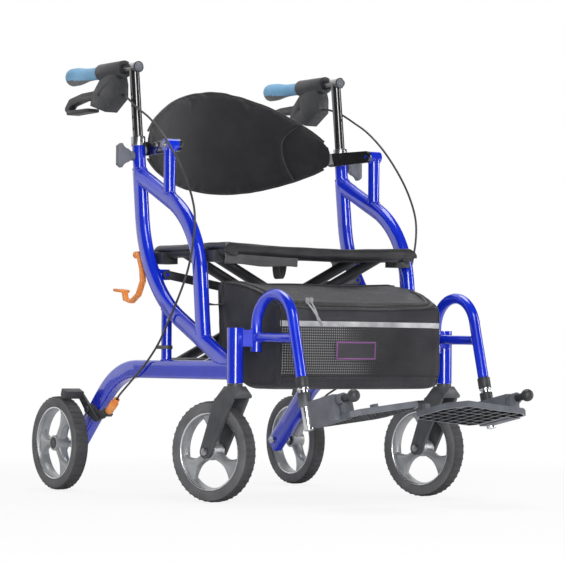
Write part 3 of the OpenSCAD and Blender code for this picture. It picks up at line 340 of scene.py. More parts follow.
def makeTreadTree():
    tree, given = geoTree("tyreTread", {"Count": "Int", "Radius": "Float", "Offset": "Float", "Lug": "Vector",
                                        "Slant": "Float", "Centre": "Vector"})
    ring = addNode(tree, "GeometryNodeCurvePrimitiveCircle", {"Radius": given["Radius"], "Resolution": 180})
    steps = addNode(tree, "GeometryNodeResampleCurve", {"Curve": ring, "Count": given["Count"]}, mode="COUNT")
    aim = aimed(tree, addNode(tree, "GeometryNodeInputTangent"), "X")
    lug = addNode(tree, "GeometryNodeMeshCube", {"Size": given["Lug"]})
    turn = addNode(tree, "ShaderNodeCombineXYZ", {1: given["Slant"]})
    shift = addNode(tree, "ShaderNodeCombineXYZ", {2: given["Offset"]})
    slanted = addNode(tree, "GeometryNodeTransform", {0: lug, "Rotation": turn, "Translation": shift})
    lugs = onPoints(tree, steps, slanted, aim)
    stand = addNode(tree, "GeometryNodeTransform",
                    {0: lugs, "Rotation": (0, math.pi / 2, 0), "Translation": given["Centre"]})
    return finishTree(tree, stand, given, False)


tubeTree = makeTubeTree()
rowTree = makeRowTree()
boltTree = makeBoltTree()
treadTree = makeTreadTree()


def runTree(tree, source, name, values):
    mod = source.modifiers.new("build", "NODES")
    mod.node_group = tree
    for item in tree.interface.items_tree:
        if item.in_out == "INPUT" and item.name in values:
            mod[item.identifier] = values[item.name]
    bpy.context.view_layer.update()
    mesh = baked(source)
    mesh.name = name
    bpy.data.objects.remove(source)
    return newObject(name, mesh)


def lineObject(lines, closed=False):
    verts = []
    edges = []
    for line in lines:
        base = len(verts)
        verts += line
        edges += [(base + i, base + i + 1) for i in range(len(line) - 1)]
        if closed:
            edges.append((base + len(line) - 1, base))
    return newObject("line", plainMesh("line", verts, edges, []))


def tube(name, lines, radius, mat, facets, closed=False):
    values = {"Radius": radius, "Sides": facets, "Material": mat}
    return runTree(tubeTree, lineObject(lines, closed), name, values)


def row(name, source, spacing, size, mat, detail):
    values = {"Spacing": spacing, "Size": size, "Detail": detail, "Material": mat}
    return runTree(rowTree, source, name, values)


def bolt(name, spot, aim, radius, height, mat):
    mesh = plainMesh("points", [spot], [], [])
    axis = mesh.attributes.new("axis", "FLOAT_VECTOR", "POINT")
    axis.data.foreach_set("vector", aim)
    values = {"Radius": radius, "Height": height, "Material": mat}
    return runTree(boltTree, newObject("points", mesh), name, values)


# finishes

def setInputs(mat, inputs):
    surface = mat.node_tree.nodes["Principled BSDF"]
    for key, value in inputs.items():
        feed(mat.node_tree, surface.inputs[key], value)


def finish(name, color, rough, metal=0.0, coat=0.0, coatRough=0.08, sheen=0.0, specular=0.5):
    mat = bpy.data.materials.new(name)
    mat.use_nodes = True
    mat.diffuse_color = (*color, 1)
    setInputs(mat, {"Base Color": (*color, 1), "Roughness": rough, "Metallic": metal, "Coat Weight": coat,
                    "Coat Roughness": coatRough, "Sheen Weight": sheen, "Specular IOR Level": specular})
    return mat


def coords(mat, scale=1.0):
    spot = addNode(mat.node_tree, "ShaderNodeTexCoord").outputs["Object"]
    return addNode(mat.node_tree, "ShaderNodeMapping", {"Vector": spot, "Scale": (scale, scale, scale)})


def grain(mat, scale, detail):
    inputs = {"Scale": scale, "Detail": detail, "Vector": coords(mat)}
    return addNode(mat.node_tree, "ShaderNodeTexNoise", inputs).outputs["Fac"]


def tint(mat, factor, dark, light, low=0.35, high=0.65):
    ramp = addNode(mat.node_tree, "ShaderNodeValToRGB", {"Fac": factor})
    for i, (position, color) in enumerate(((low, dark), (high, light))):
        ramp.color_ramp.elements[i].position = position
        ramp.color_ramp.elements[i].color = (*color, 1)
    setInputs(mat, {"Base Color": ramp})


def roughen(mat, factor, low, high):
    setInputs(mat, {"Roughness": mapRange(mat.node_tree, factor, 0.3, 0.7, low, high)})


def bump(mat, height, strength, distance):
    inputs = {"Strength": strength, "Distance": distance, "Height": height}
    setInputs(mat, {"Normal": addNode(mat.node_tree, "ShaderNodeBump", inputs)})


def weave(mat, pitch, skew):
    tree = mat.node_tree
    split = axes(tree, coords(mat, 2 * math.pi / pitch))
    warp = mathNode(tree, "SINE", mathNode(tree, "ADD", split["X"], split["Y"]))
    weft = mathNode(tree, "SINE", mathNode(tree, "MULTIPLY", split["Z"], skew))
    return mathNode(tree, "MULTIPLY", warp, weft)


def paintFinish(name, dark, light, rough):
    mat = finish(name, light, rough, coat=1.0, coatRough=0.03)
    setInputs(mat, {"Coat IOR": 1.65})
    tint(mat, grain(mat, 9.0, 3.0), dark, light)
    roughen(mat, grain(mat, 60.0, 2.0), rough - 0.05, rough + 0.05)
    bump(mat, grain(mat, 420.0, 1.0), 0.05, 0.0004)
    return mat


def plasticFinish(name, dark, light, rough, grainScale=900.0, grainDepth=0.12):
    mat = finish(name, light, rough, specular=0.45)
    tint(mat, grain(mat, 25.0, 5.0), dark, light)
    roughen(mat, grain(mat, 130.0, 3.0), rough - 0.06, rough + 0.08)
    bump(mat, grain(mat, grainScale, 2.0), grainDepth, 0.0006)
    return mat


def metalFinish(name, color, rough):
    mat = finish(name, color, rough, metal=1.0)
    roughen(mat, grain(mat, 210.0, 4.0), rough - 0.05, rough + 0.07)
    bump(mat, grain(mat, 700.0, 2.0), 0.03, 0.0003)
    return mat


def clothFinish(name, dark, light, rough, pitch, depth, sheen=0.25, skew=1.0, specular=0.4):
    mat = finish(name, light, rough, sheen=sheen, specular=specular)
    tint(mat, grain(mat, 14.0, 6.0), dark, light, 0.3, 0.7)
    roughen(mat, grain(mat, 45.0, 4.0), rough - 0.07, rough + 0.1)
    bump(mat, weave(mat, pitch, skew), depth, 0.0006)
    return mat


def vinylFinish(name, dark, light):
    mat = finish(name, light, 0.4, coat=0.08, coatRough=0.3)
    tint(mat, grain(mat, 18.0, 5.0), dark, light)
    roughen(mat, grain(mat, 75.0, 4.0), 0.34, 0.5)
    cells = addNode(mat.node_tree, "ShaderNodeTexVoronoi", {"Scale": 620.0, "Vector": coords(mat)})
    bump(mat, cells.outputs["Distance"], 0.25, 0.0005)
    return mat


def netFinish(name, pitch):
    mat = finish(name, (0.03, 0.03, 0.032), 0.6, sheen=0.1)
    tree = mat.node_tree
    split = axes(tree, coords(mat, 2 * math.pi / pitch))
    runs = [mathNode(tree, way, split["X"], split["Z"]) for way in ("ADD", "SUBTRACT")]
    dots = mathNode(tree, "MULTIPLY", *[mathNode(tree, "SINE", run) for run in runs])
    drift = mathNode(tree, "MULTIPLY", grain(mat, 9.0, 2.0), 0.30)
    lean = mathNode(tree, "ADD", axes(tree, coords(mat))["X"], drift)
    reach = mapRange(tree, lean, 0.17, 0.05, 0.10, 1.0, interpolation_type="SMOOTHSTEP")
    shown = mathNode(tree, "MULTIPLY", dots, reach)  # the net's light dots dim towards the +x end
    tint(mat, shown, (0.016, 0.016, 0.018), (0.31, 0.31, 0.31), 0.05, 0.95)
    bump(mat, dots, 0.5, 0.0006)
    return mat


framePaint = paintFinish("cobaltPaint", (0.0016, 0.018, 0.50), (0.0022, 0.028, 0.66), 0.2)
satinPaint = plasticFinish("cobaltSatin", (0.0016, 0.018, 0.50), (0.0022, 0.028, 0.66), 0.5, 420.0, 0.05)
blackGloss = paintFinish("blackEnamel", (0.010, 0.010, 0.012), (0.018, 0.018, 0.021), 0.18)
satinBlack = plasticFinish("satinBlackNylon", (0.030, 0.031, 0.034), (0.046, 0.047, 0.052), 0.42)
forkGrey = plasticFinish("forkNylon", (0.052, 0.054, 0.058), (0.078, 0.080, 0.086), 0.40)
slateGrey = plasticFinish("slateMoulding", (0.096, 0.103, 0.120), (0.136, 0.145, 0.168), 0.46)
brightMetal = metalFinish("brightTube", (0.80, 0.81, 0.82), 0.16)
boltSteel = metalFinish("boltSteel", (0.42, 0.42, 0.43), 0.3)
wheelGrey = plasticFinish("wheelMoulding", (0.34, 0.35, 0.36), (0.44, 0.45, 0.46), 0.34, 500.0, 0.05)
setInputs(wheelGrey, {"Metallic": 0.55})
rimLip = metalFinish("rimLip", (0.70, 0.71, 0.72), 0.24)
knobGrey = plasticFinish("knobMoulding", (0.115, 0.122, 0.142), (0.165, 0.174, 0.20), 0.42)
# lighter grey, a painted highlight on the bottom edges of the footplate ribs
ribEdgeHighlight = plasticFinish("ribEdgePaintedHighlight", (0.30, 0.31, 0.33), (0.40, 0.41, 0.43), 0.42)
# near-black grey, painted shade under the footplate and inside its rib cells
paintedShadeGrey = plasticFinish("paintedShadeMoulding", (0.016, 0.017, 0.019), (0.028, 0.029, 0.032), 0.5)
collarSteel = metalFinish("collarSteel", (0.50, 0.51, 0.53), 0.28)
# the tyre's rubber in a lighter copy for the sidewall, painted light for the face the lamps reach; the tread
# keeps the darker grey
tyreSideLit = plasticFinish("tyreSidewallPaintedLight", (0.098, 0.098, 0.102), (0.142, 0.142, 0.147), 0.62, 700.0, 0.2)
tyreTread = plasticFinish("tyreTread", (0.040, 0.040, 0.043), (0.066, 0.066, 0.069), 0.66, 600.0, 0.3)
gripBlue = plasticFinish("gripBlueRubber", (0.19, 0.42, 0.66), (0.25, 0.50, 0.74), 0.5, 650.0, 0.12)
gripGrey = plasticFinish("gripPalmRubber", (0.12, 0.12, 0.125), (0.20, 0.20, 0.205), 0.42, 650.0, 0.2)
sheathGrey = plasticFinish("cableSheath", (0.030, 0.030, 0.032), (0.052, 0.052, 0.054), 0.4)
orange = plasticFinish("orangeNylon", (0.80, 0.25, 0.055), (0.93, 0.36, 0.10), 0.38, 500.0, 0.05)
webbing = clothFinish("blackWebbing", (0.012, 0.012, 0.013), (0.026, 0.026, 0.028), 0.7, 0.0024, 0.5)
knit = clothFinish("padKnit", (0.016, 0.016, 0.018), (0.024, 0.024, 0.027), 0.88, 0.0021, 0.55,
                   sheen=0.18, skew=0.55, specular=0.2)
nylon = clothFinish("bagNylon", (0.018, 0.018, 0.023), (0.032, 0.032, 0.038), 0.46, 0.0015, 0.30, 0.1)
piping = clothFinish("blackPiping", (0.010, 0.010, 0.011), (0.020, 0.020, 0.022), 0.6, 0.0018, 0.4)
pullGrey = plasticFinish("zipPullGrey", (0.22, 0.22, 0.23), (0.34, 0.34, 0.35), 0.32)
stitch = clothFinish("darkThread", (0.012, 0.012, 0.013), (0.028, 0.028, 0.030), 0.8, 0.0008, 0.3)
strip = plasticFinish("silverTape", (0.34, 0.34, 0.35), (0.62, 0.62, 0.63), 0.34, 1500.0, 0.25)
plum = clothFinish("plumThread", (0.18, 0.055, 0.20), (0.32, 0.10, 0.36), 0.6, 0.0012, 0.4)
lining = clothFinish("patchCloth", (0.020, 0.019, 0.024), (0.042, 0.040, 0.048), 0.55, 0.0010, 0.3)
vinyl = vinylFinish("seatVinyl", (0.016, 0.016, 0.018), (0.032, 0.032, 0.035))
# the flap's vinyl is the seat vinyl painted lighter, a painted highlight for the gloss it catches
flapVinylPaintedSheen = vinylFinish("flapVinylPaintedSheen", (0.050, 0.050, 0.053), (0.085, 0.085, 0.090))
net = netFinish("pocketNet", 0.0104)
print("finishes ready:", len(bpy.data.materials))


# welded side frames and the other rigid pieces

fittings = {"legTop": (0.226, -0.33479, 0.36782), "legAxis": (0, -0.2588, -0.9659), "clampEnd": 0.1685,
            "hinge": (0.213, -0.38163, 0.19299), "plungerAxis": (0, -0.98163, 0.19081),
            "stub": (0.2765, 0.067, 0.731), "cheekArea": 0.0003, "handleLow": 0.888, "plugR": 0.0104,
            "boltR": 0.0070, "headH": 0.0036}
adjuster = {"at": (0.270, 0.2465, 0.2095), "axis": (0, 0.787, -0.617), "swell": 1.28}
bores = {"postY": 0.193, "postZ": 0.735, "postLean": 0.12278, "postCos": 0.9925, "postR": 0.0122,
         "postLow": 0.5, "stemY": -0.187, "stemR": 0.0075, "pinR": 0.0085, "innerX": 0.2485, "lowZ": 0.14,
         "legR": 0.0101, "legFrom": 0.02}
weld = {"spacing": 0.0024, "size": (0.0017, 0.0021, 0.0021), "hairline": 0.0006}


def postBore(p):
    aside = abs(p.x) - tubeX
    y = bores["postY"] + (p.z - bores["postZ"]) * bores["postLean"]
    inPost = math.hypot(aside, (p.y - y) * bores["postCos"]) < bores["postR"] and p.z > bores["postLow"]
    inStem = math.hypot(aside, p.y - bores["stemY"]) < bores["stemR"]
    hidden = abs(p.x) < bores["innerX"] or p.z < bores["lowZ"]
    return inPost or inStem or hidden


def pivotBore(p):
    inPin = math.hypot(abs(p.x) - tubeX, p.y - bores["stemY"]) < bores["pinR"]
    axis = Vector(fittings["legAxis"])
    arm = p - onSide(fittings["legTop"], math.copysign(1, p.x))
    onLeg = arm.dot(axis)
    inLeg = (arm - onLeg * axis).length < bores["legR"] and onLeg > bores["legFrom"]
    return inPin or inLeg


def weldBeads(node, body, name, skip):
    bm = cadCopy(node)
    sharp = sharpEdges(bm, 28)
    ridges = [v.co for e in sharp if e.is_convex for v in e.verts]
    near = KDTree(len(ridges))
    for i, co in enumerate(ridges):
        near.insert(co, i)
    near.balance()
    known = {}
    edges = []
    for e in sharp:
        a, b = [v.co for v in e.verts]
        stepped = any(near.find(p)[2] < weld["hairline"] for p in (a, b))  # hairline at a tube's bend
        if e.is_convex or stepped or skip((a + b) / 2):
            continue
        pair = []
        for p in (a, b):
            key = (round(p.x, 5), round(p.y, 5), round(p.z, 5))
            pair.append(known.setdefault(key, (len(known), tuple(p)))[0])
        edges.append(tuple(pair))
    seam = newObject("seam", plainMesh("seam", [p for i, p in known.values()], edges, []))
    bm.free()
    place(row(name, seam, weld["spacing"], weld["size"], framePaint, 2), body, "frame_blue")


def isUnder(poly):
    return poly.normal.z < -0.8


def isCheek(poly):  # a flat cheek of the pivot bracket
    return poly.area > fittings["cheekArea"]


# picks the walls inside the rib cells, which are painted near-black as painted shade
def shadedCellWalls(obj):
    points = [v.co for v in obj.data.vertices]
    walls = BVHTree.FromPolygons(points, [tuple(p.vertices) for p in obj.data.polygons])

    def inShadedCell(poly):  # the walls inside a cell look at each other
        return not isUnder(poly) and walls.ray_cast(poly.center + poly.normal * 0.0001, poly.normal)[0]

    return inShadedCell


def inClamp(sign):
    top = onSide(fittings["legTop"], sign)
    axis = Vector(fittings["legAxis"])
    return lambda poly: (poly.center - top).dot(axis) < fittings["clampEnd"]


def swellAdjuster(obj, sign):
    base = onSide(adjuster["at"], sign)
    axis = Vector(adjuster["axis"]).normalized()
    for v in obj.data.vertices:
        along = axis * (v.co - base).dot(axis)
        v.co = base + along + (v.co - base - along) * adjuster["swell"]


sideFinishes = (
    ("seat_saddles", satinBlack, "black_plastic", 0.0015),
    ("post_collar", collarSteel, "bright_metal", 0.0012),
    ("handle_post", blackGloss, "black_tube", 0.0008),
    ("fold_stay", satinBlack, "black_tube", 0.0008),
    ("strap_arm", blackGloss, "black_tube", 0.0018),
    ("sliding_tube", brightMetal, "bright_metal", 0.0008),
    ("hinge_housing", slateGrey, "grey_plastic", 0.0016),
    ("footplate", slateGrey, "grey_plastic", 0.0005),
    ("plate_ribs", slateGrey, "grey_plastic", 0.0),
    ("plunger", satinBlack, "black_plastic", 0.0008),
    ("brake_housing", satinBlack, "black_plastic", 0.0022),
    ("brake_lever", satinBlack, "grey_plastic", 0.0022),
    ("clamp_knob", knobGrey, "black_plastic", 0.0022),
    ("brake_bracket", satinBlack, "black_tube", 0.0008),
    ("cable_adjuster", orange, "orange_plastic", 0.0012),
    ("brake_arm", satinBlack, "black_tube", 0.0010),
    ("rear_axle", boltSteel, "bright_metal", 0.0006),
    ("front_axle", boltSteel, "bright_metal", 0.0010),
    ("caster_fork", forkGrey, "black_plastic", 0.0030),
)
for side, sign in sides:
    dress(side + "_side_frame", framePaint, "frame_blue")
    weldBeads(side + "_side_frame", side + "_frame", side + "_frame_welds", postBore)
    hanger = dress(side + "_footrest_tube", framePaint, "frame_blue")
    paintFaces(hanger, satinPaint, isCheek)
    weldBeads(side + "_footrest_tube", side + "_hanger", side + "_hanger_welds", pivotBore)
    made = {node: dress(side + "_" + node, mat, slot, bevel) for node, mat, slot, bevel in sideFinishes}
    paintFaces(made["hinge_housing"], satinBlack, inClamp(sign))
    # the footplate's downward faces are painted near-black: painted shade under the plate
    paintFaces(made["footplate"], paintedShadeGrey, isUnder)
    # the rib bottoms are painted lighter: painted highlight on the rib edges
    paintFaces(made["plate_ribs"], ribEdgeHighlight, isUnder)
    # the walls inside the rib cells are painted near-black: painted shade in the recesses
    paintFaces(made["plate_ribs"], paintedShadeGrey, shadedCellWalls(made["plate_ribs"]))
    swellAdjuster(made["cable_adjuster"], sign)
for half in ("a", "b"):
    dress("cross_brace_" + half, satinBlack, "black_tube", 0.0008)
dress("cross_bolts", boltSteel, "bright_metal", 0.0008)
dress("crutch_hook", orange, "orange_plastic", 0.0018)
print("rigid pieces dressed")


# small turned fittings: leg sleeves and rings, plunger rings, tube plugs and bolt heads

sleeveProfile = [(0.0098, 0.1195), (0.0124, 0.1195), (0.0129, 0.1205), (0.0129, 0.1395), (0.0122, 0.1405),
                 (0.0098, 0.1405)]
legRingProfile = [(0.0098, 0.1406), (0.0120, 0.1406), (0.0124, 0.1415), (0.0124, 0.1440), (0.0118, 0.1450),
                  (0.0098, 0.1450)]
plungerProfile = [(0.0046, 0.0956), (0.0078, 0.0956), (0.0084, 0.0964), (0.0084, 0.1070), (0.0078, 0.1078),
                  (0.0046, 0.1078)]


def turnedOn(name, profile, base, axis, mat, body, slot):
    verts, faces = lathe(profile, (0, 0, 0), 40)
    turn = Vector((1, 0, 0)).rotation_difference(Vector(axis)).to_matrix()
    place(meshObject(name, ([turn @ Vector(v) + base for v in verts], faces), mat), body, slot)


for side, sign in sides:
    legTop = onSide(fittings["legTop"], sign)
    legAxis = fittings["legAxis"]
    hanger = side + "_hanger"
    turnedOn(side + "_leg_sleeve", sleeveProfile, legTop, legAxis, satinBlack, hanger, "black_plastic")
    turnedOn(side + "_leg_ring", legRingProfile, legTop, legAxis, brightMetal, hanger, "bright_metal")
    turnedOn(side + "_plunger_ring", plungerProfile, onSide(fittings["hinge"], sign), fittings["plungerAxis"],
             brightMetal, side + "_release", "bright_metal")
    post = frame["nodes"][side + "_handle_post"].data
    front = min(v.co.y for v in post.vertices if v.co.z > fittings["handleLow"])
    end = (sign * tubeX, front, handleZ)
    height = fittings["headH"]
    plug = bolt(side + "_handle_plug", end, (0, -1, 0), fittings["plugR"], height, knobGrey)
    place(plug, side + "_handle", "black_plastic")
    spot = onSide(fittings["stub"], sign)
    stub = bolt(side + "_stub_bolt", spot, (sign, 0, 0), fittings["boltR"], height, boltSteel)
    place(stub, side + "_frame", "bright_metal")


# wheels: lathe-turned rim ring, three flared spokes, hub and treaded tyre

wheel = {"z": 0.1015, "rearX": 0.3115, "rearY": 0.432, "tyreR": 0.1003, "spokes": 3, "lugs": 46,
         "lug": (0.0036, 0.0017, 0.0058), "lipR": 0.0749, "lipX": 0.0136, "treadR": 0.0968}
spoke = {"steps": 12, "rootR": 0.0135, "endR": 0.0738, "flareR": 0.034, "flareRun": 0.040, "half": 0.0088,
         "waist": 0.0016, "flare": 0.021, "depth": 0.0125, "taper": 0.0030}
caster = {"stemY": -0.187, "trail": 0.055, "right": 16, "left": 12}
rimHalf = [(0.0790, 0.0130), (0.0782, 0.0146), (0.0766, 0.0150), (0.0752, 0.0142), (0.0742, 0.0120),
           (0.0728, 0.0050), (0.0724, 0.0)]
hubHalf = [(0.0172, 0.006), (0.0168, 0.0148), (0.0150, 0.0158), (0.00506, 0.0158)]
capProfile = [(0.0058, 0.0152), (0.0128, 0.0152), (0.0128, 0.0160), (0.0120, 0.0166), (0.0058, 0.0166)]
tyreHalf = [(0.1007, 0.0), (0.1003, 0.0080), (0.0996, 0.0122), (0.0978, 0.0148), (0.0945, 0.0160),
            (0.0806, 0.0160), (0.0792, 0.0150), (0.0790, 0.0126)]
treadRows = ((-0.0098, 0.55, -0.0004), (0.0098, -0.55, -0.0004),  # offset, slant and rise of each row of lugs
             (-0.0034, 0.3, 0.00025), (0.0034, -0.3, 0.00025))


def spokeLoft(turn):
    rings = []
    for k in range(spoke["steps"] + 1):
        share = k / spoke["steps"]
        r = spoke["rootR"] + (spoke["endR"] - spoke["rootR"]) * share
        flare = max(0.0, (r - spoke["flareR"]) / spoke["flareRun"])
        waist = spoke["waist"] * math.sin(math.pi * min(1, share * 1.4))
        halfW = spoke["half"] - waist + spoke["flare"] * flare ** 2
        halfA = spoke["depth"] - spoke["taper"] * share
        ring = []
        for c, s in circle(20):
            u = math.copysign(abs(c) ** 0.62, c) * halfW
            a = math.copysign(abs(s) ** 0.72, s) * halfA
            bend = turn + u / r if flare else turn
            aside = 0 if flare else u
            ring.append((a, r * math.cos(bend) - aside * math.sin(turn),
                         r * math.sin(bend) + aside * math.cos(turn)))
        rings.append(ring)
    return loft(rings)


def treadLugs(centre):
    parts = []
    for offset, slant, rise in treadRows:
        source = lineObject([[(0, 0, 0), (0, 0, 0.001)]])
        values = {"Count": wheel["lugs"], "Radius": wheel["tyreR"] + rise, "Offset": offset,
                  "Lug": wheel["lug"], "Slant": slant, "Centre": centre, "Material": tyreTread}
        lugs = runTree(treadTree, source, "lugs", values)
        verts = [v.co.copy() for v in lugs.data.vertices]
        parts.append((verts, [tuple(p.vertices) for p in lugs.data.polygons]))
        bpy.data.objects.remove(lugs)
    return joined(*parts)


def makeWheel(name, centre, turn, swivel=None):
    body = name + "_wheel"
    middle = Vector(centre)

    def fromHub(poly):
        away = poly.center - middle
        return math.hypot(away.y, away.z), abs(away.x)

    def onLip(poly):
        r, x = fromHub(poly)
        return r > wheel["lipR"] and x > wheel["lipX"]

    spokes = [spokeLoft(turn + 2 * math.pi * k / wheel["spokes"]) for k in range(wheel["spokes"])]
    verts, faces = joined(lathe(bothSides(rimHalf), (0, 0, 0), 96), lathe(bothSides(hubHalf), (0, 0, 0), 48),
                          *spokes)
    rim = meshObject(name + "_rim_moulding", ([Vector(v) + middle for v in verts], faces), wheelGrey, 40)
    paintFaces(rim, rimLip, onLip)
    place(rim, body, "wheel_grey", name + "_rim")
    mirrored = [(r, -x) for r, x in reversed(capProfile)]
    capShape = joined(lathe(capProfile, centre, 40), lathe(mirrored, centre, 40))
    caps = place(meshObject(name + "_hub_caps", capShape, satinBlack), body, "black_plastic")
    # the sidewall takes the lighter rubber copy, painted light
    tyre = meshObject(name + "_tyre_body", lathe(bothSides(tyreHalf), centre, 120), tyreSideLit, 40)
    paintFaces(tyre, tyreTread, lambda poly: fromHub(poly)[0] > wheel["treadR"])
    place(tyre, body, "tyre_grey", name + "_tyre")
    tread = place(meshObject(name + "_tyre_lugs", treadLugs(centre), tyreTread, 20), body, "tyre_grey")
    if swivel:
        x, y, angle = swivel
        about = Matrix.Translation((x, y, 0))
        for obj in (rim, caps, tyre, tread):
            obj.data.transform(about @ Matrix.Rotation(angle, 4, "Z") @ about.inverted())


for side, sign in sides:
    makeWheel(side + "_rear", (sign * wheel["rearX"], wheel["rearY"], wheel["z"]), 0.0)
    makeWheel(side + "_front", (sign * tubeX, caster["stemY"] + caster["trail"], wheel["z"]), math.pi / 2,
              (sign * tubeX, caster["stemY"], math.radians(caster[side])))
print("wheels turned")


# hand grips with a soft grey palm side

gripShape = {"start": 0.3492, "end": 0.4858, "bore": 0.0111, "boreStop": 0.0075, "tip": 0.0130,
             "least": 0.0112, "rings": 44, "facets": 40, "palmR": 0.0195}


def gripRadius(t):
    if t < 0.14:
        return 0.0128 + 0.0012 * t / 0.14
    if t < 0.36:
        return 0.0140 - 0.0004 * math.sin(math.pi * (t - 0.14) / 0.22)
    s = min(1.0, (t - 0.36) / 0.42)
    return 0.0140 + 0.0055 * s * s * (3 - 2 * s)


def gripRing(sign, r, y):
    return [(sign * tubeX + r * c, y, handleZ + r * s) for c, s in circle(gripShape["facets"])]


def onPalm(poly):
    low = (handleZ - poly.center.z) / gripShape["palmR"]
    rear = (poly.center.y - gripShape["start"]) / (gripShape["end"] - gripShape["start"])
    return rear > 0.2 and low > 0.62 - 0.42 * max(0.0, rear - 0.45) + 0.25 * max(0.0, 0.5 - rear)


for side, sign in sides:
    count = gripShape["rings"]
    n = gripShape["facets"]
    length = gripShape["end"] - gripShape["start"]
    rings = []
    for k in range(count + 1):
        y = length * k / count
        over = max(0.0, y - (length - gripShape["tip"])) / gripShape["tip"]
        r = gripRadius(y / length) * math.sqrt(max(0.0, 1 - over * over))
        rings.append(gripRing(sign, max(gripShape["least"], r), gripShape["start"] + y))
    bore = [gripRing(sign, gripShape["bore"], y)
            for y in (gripShape["end"] - gripShape["boreStop"], gripShape["start"])]
    verts, faces = joined(loft(rings, False), loft(bore, False))
    faces += [tuple(range(k * n, (k + 1) * n)) for k in (count, count + 1)]
    mouth = (count + 2) * n
    faces += [(i, (i + 1) % n, mouth + (i + 1) % n, mouth + i) for i in range(n)]
    grip = meshObject(side + "_hand_grip", (verts, faces), gripBlue, 50)
    paintFaces(grip, gripGrey, onPalm)
    place(grip, side + "_handle", "grip_soft", side + "_grip")
print("grips moulded")


# brake cables: the same routes as the solids, blended over the handle slide

cableRoute = [(263, 271.9, 850), (263, 261.9, 850), (263, 253.9, 850), (269, 239.9, 847), (277, 214.9, 838),
              (282, 165, 813), (282, 116, 788), (282, 60, 748), (282, 8, 698), (282, -32, 648),
              (282, -58, 597), (282, -62, 552), (282, -50, 500), (282, -31, 456), (282, -1, 411),
              (282, 37, 362), (282, 77, 315), (282, 130, 272), (280, 185, 239), (271, 246.5, 209.5),
              (270, 259.1, 199.6), (270, 265.4, 194.7)]
for side, sign in sides:
    line = curveThrough([(sign * x / 1000, y / 1000, z / 1000) for x, y, z in cableRoute], 5)
    cable = tube(side + "_cable_sheath", [line], 0.00225, sheathGrey, 12)
    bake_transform(cable)
    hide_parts(side + "_brake_cable")


# clips that hold each cable to its strut

clip = {"strut": (tubeX, 0.073), "strutR": 0.0111, "cable": (0.282, 0.0762), "cableR": 0.0025, "wall": 0.0017,
        "gap": 0.0002, "low": 0.3065, "high": 0.3140}


def arc(middle, r, start, sweep, steps):
    turns = [start + sweep * k / steps for k in range(steps + 1)]
    return [(middle.x + r * math.cos(t), middle.y + r * math.sin(t)) for t in turns]


def clipLoop(grow):
    a = Vector(clip["strut"])
    b = Vector(clip["cable"])
    r1 = clip["strutR"] + grow
    r2 = clip["cableR"] + grow
    lean = math.atan2(b.y - a.y, b.x - a.x)
    spread = math.acos((r1 - r2) / (b - a).length)
    return arc(b, r2, lean - spread, 2 * spread, 12) + arc(a, r1, lean + spread, 2 * math.pi - 2 * spread, 28)


for side, sign in sides:
    corners = [(clip["wall"], "low"), (clip["wall"], "high"), (clip["gap"], "high"), (clip["gap"], "low")]
    rings = [[(sign * x, y, clip[end]) for x, y in clipLoop(grow)] for grow, end in corners]
    clipped = meshObject(side + "_cable_clip", loft(rings, False, True), satinBlack, 40)
    place(clipped, side + "_frame", "black_plastic")
print("cables run")


# sewn goods: a cloth run shapes each piece, then its trim follows the shaped surface

def clothRun(obj, pins, pressure, gravity, frames, cap, stiff, bend):
    rest = [v.co.copy() for v in obj.data.vertices]
    mod = obj.modifiers.new("cloth", "CLOTH")
    cloth = mod.settings
    cloth.quality = 6
    cloth.mass = 0.35
    cloth.tension_stiffness = stiff
    cloth.compression_stiffness = stiff
    cloth.shear_stiffness = stiff * 0.4
    cloth.bending_stiffness = bend
    cloth.use_pressure = pressure != 0
    cloth.uniform_pressure_force = pressure
    cloth.effector_weights.gravity = gravity
    group = obj.vertex_groups.new(name="pins")
    for i, weight in pins.items():
        group.add([i], weight, "REPLACE")
    cloth.vertex_group_mass = "pins"
    mod.point_cache.frame_start = 1
    mod.point_cache.frame_end = frames
    for f in range(1, frames + 1):
        scene.frame_set(f)
    graph = bpy.context.evaluated_depsgraph_get()
    moved = [v.co.copy() for v in obj.evaluated_get(graph).data.vertices]
    obj.modifiers.remove(mod)
    for v, a, b in zip(obj.data.vertices, rest, moved):
        d = b - a
        v.co = a + d * min(1.0, cap / max(d.length, 1e-9))
    scene.frame_set(1)


def remeshed(obj, size):
    mod = obj.modifiers.new("remesh", "REMESH")
    mod.mode = "VOXEL"
    mod.voxel_size = size
    mesh = baked(obj)
    name = obj.name
    mat = obj.data.materials[0]
    bpy.data.objects.remove(obj)
    mesh.materials.clear()
    mesh.materials.append(mat)
    mesh.polygons.foreach_set("material_index", [0] * len(mesh.polygons))
    smooth(mesh, 80)
    return newObject(name, mesh)


def relax(obj, rounds):
    bm = bmesh.new()
    bm.from_mesh(obj.data)
    for k in range(rounds):
        bmesh.ops.smooth_vert(bm, verts=bm.verts, factor=0.5, use_axis_x=True, use_axis_y=True,
                              use_axis_z=True)
    bm.to_mesh(obj.data)
    bm.free()


def subdivide(obj, angle):
    mod = obj.modifiers.new("soft", "SUBSURF")
    mod.levels = 1
    mod.render_levels = 1
    applyAll(obj, angle)


def applyAll(obj, angle):
    mesh = baked(obj)
    obj.modifiers.clear()
    obj.data = mesh
    smooth(mesh, angle)


def addWall(obj, thickness, offset):
    wall = obj.modifiers.new("wall", "SOLIDIFY")
    wall.thickness = thickness
    wall.offset = offset


def softStep(x, low, high):
    s = min(1.0, max(0.0, (x - low) / (high - low)))
    return s * s * (3 - 2 * s)


# back pad: a bow-tie cushion bent between the two arms

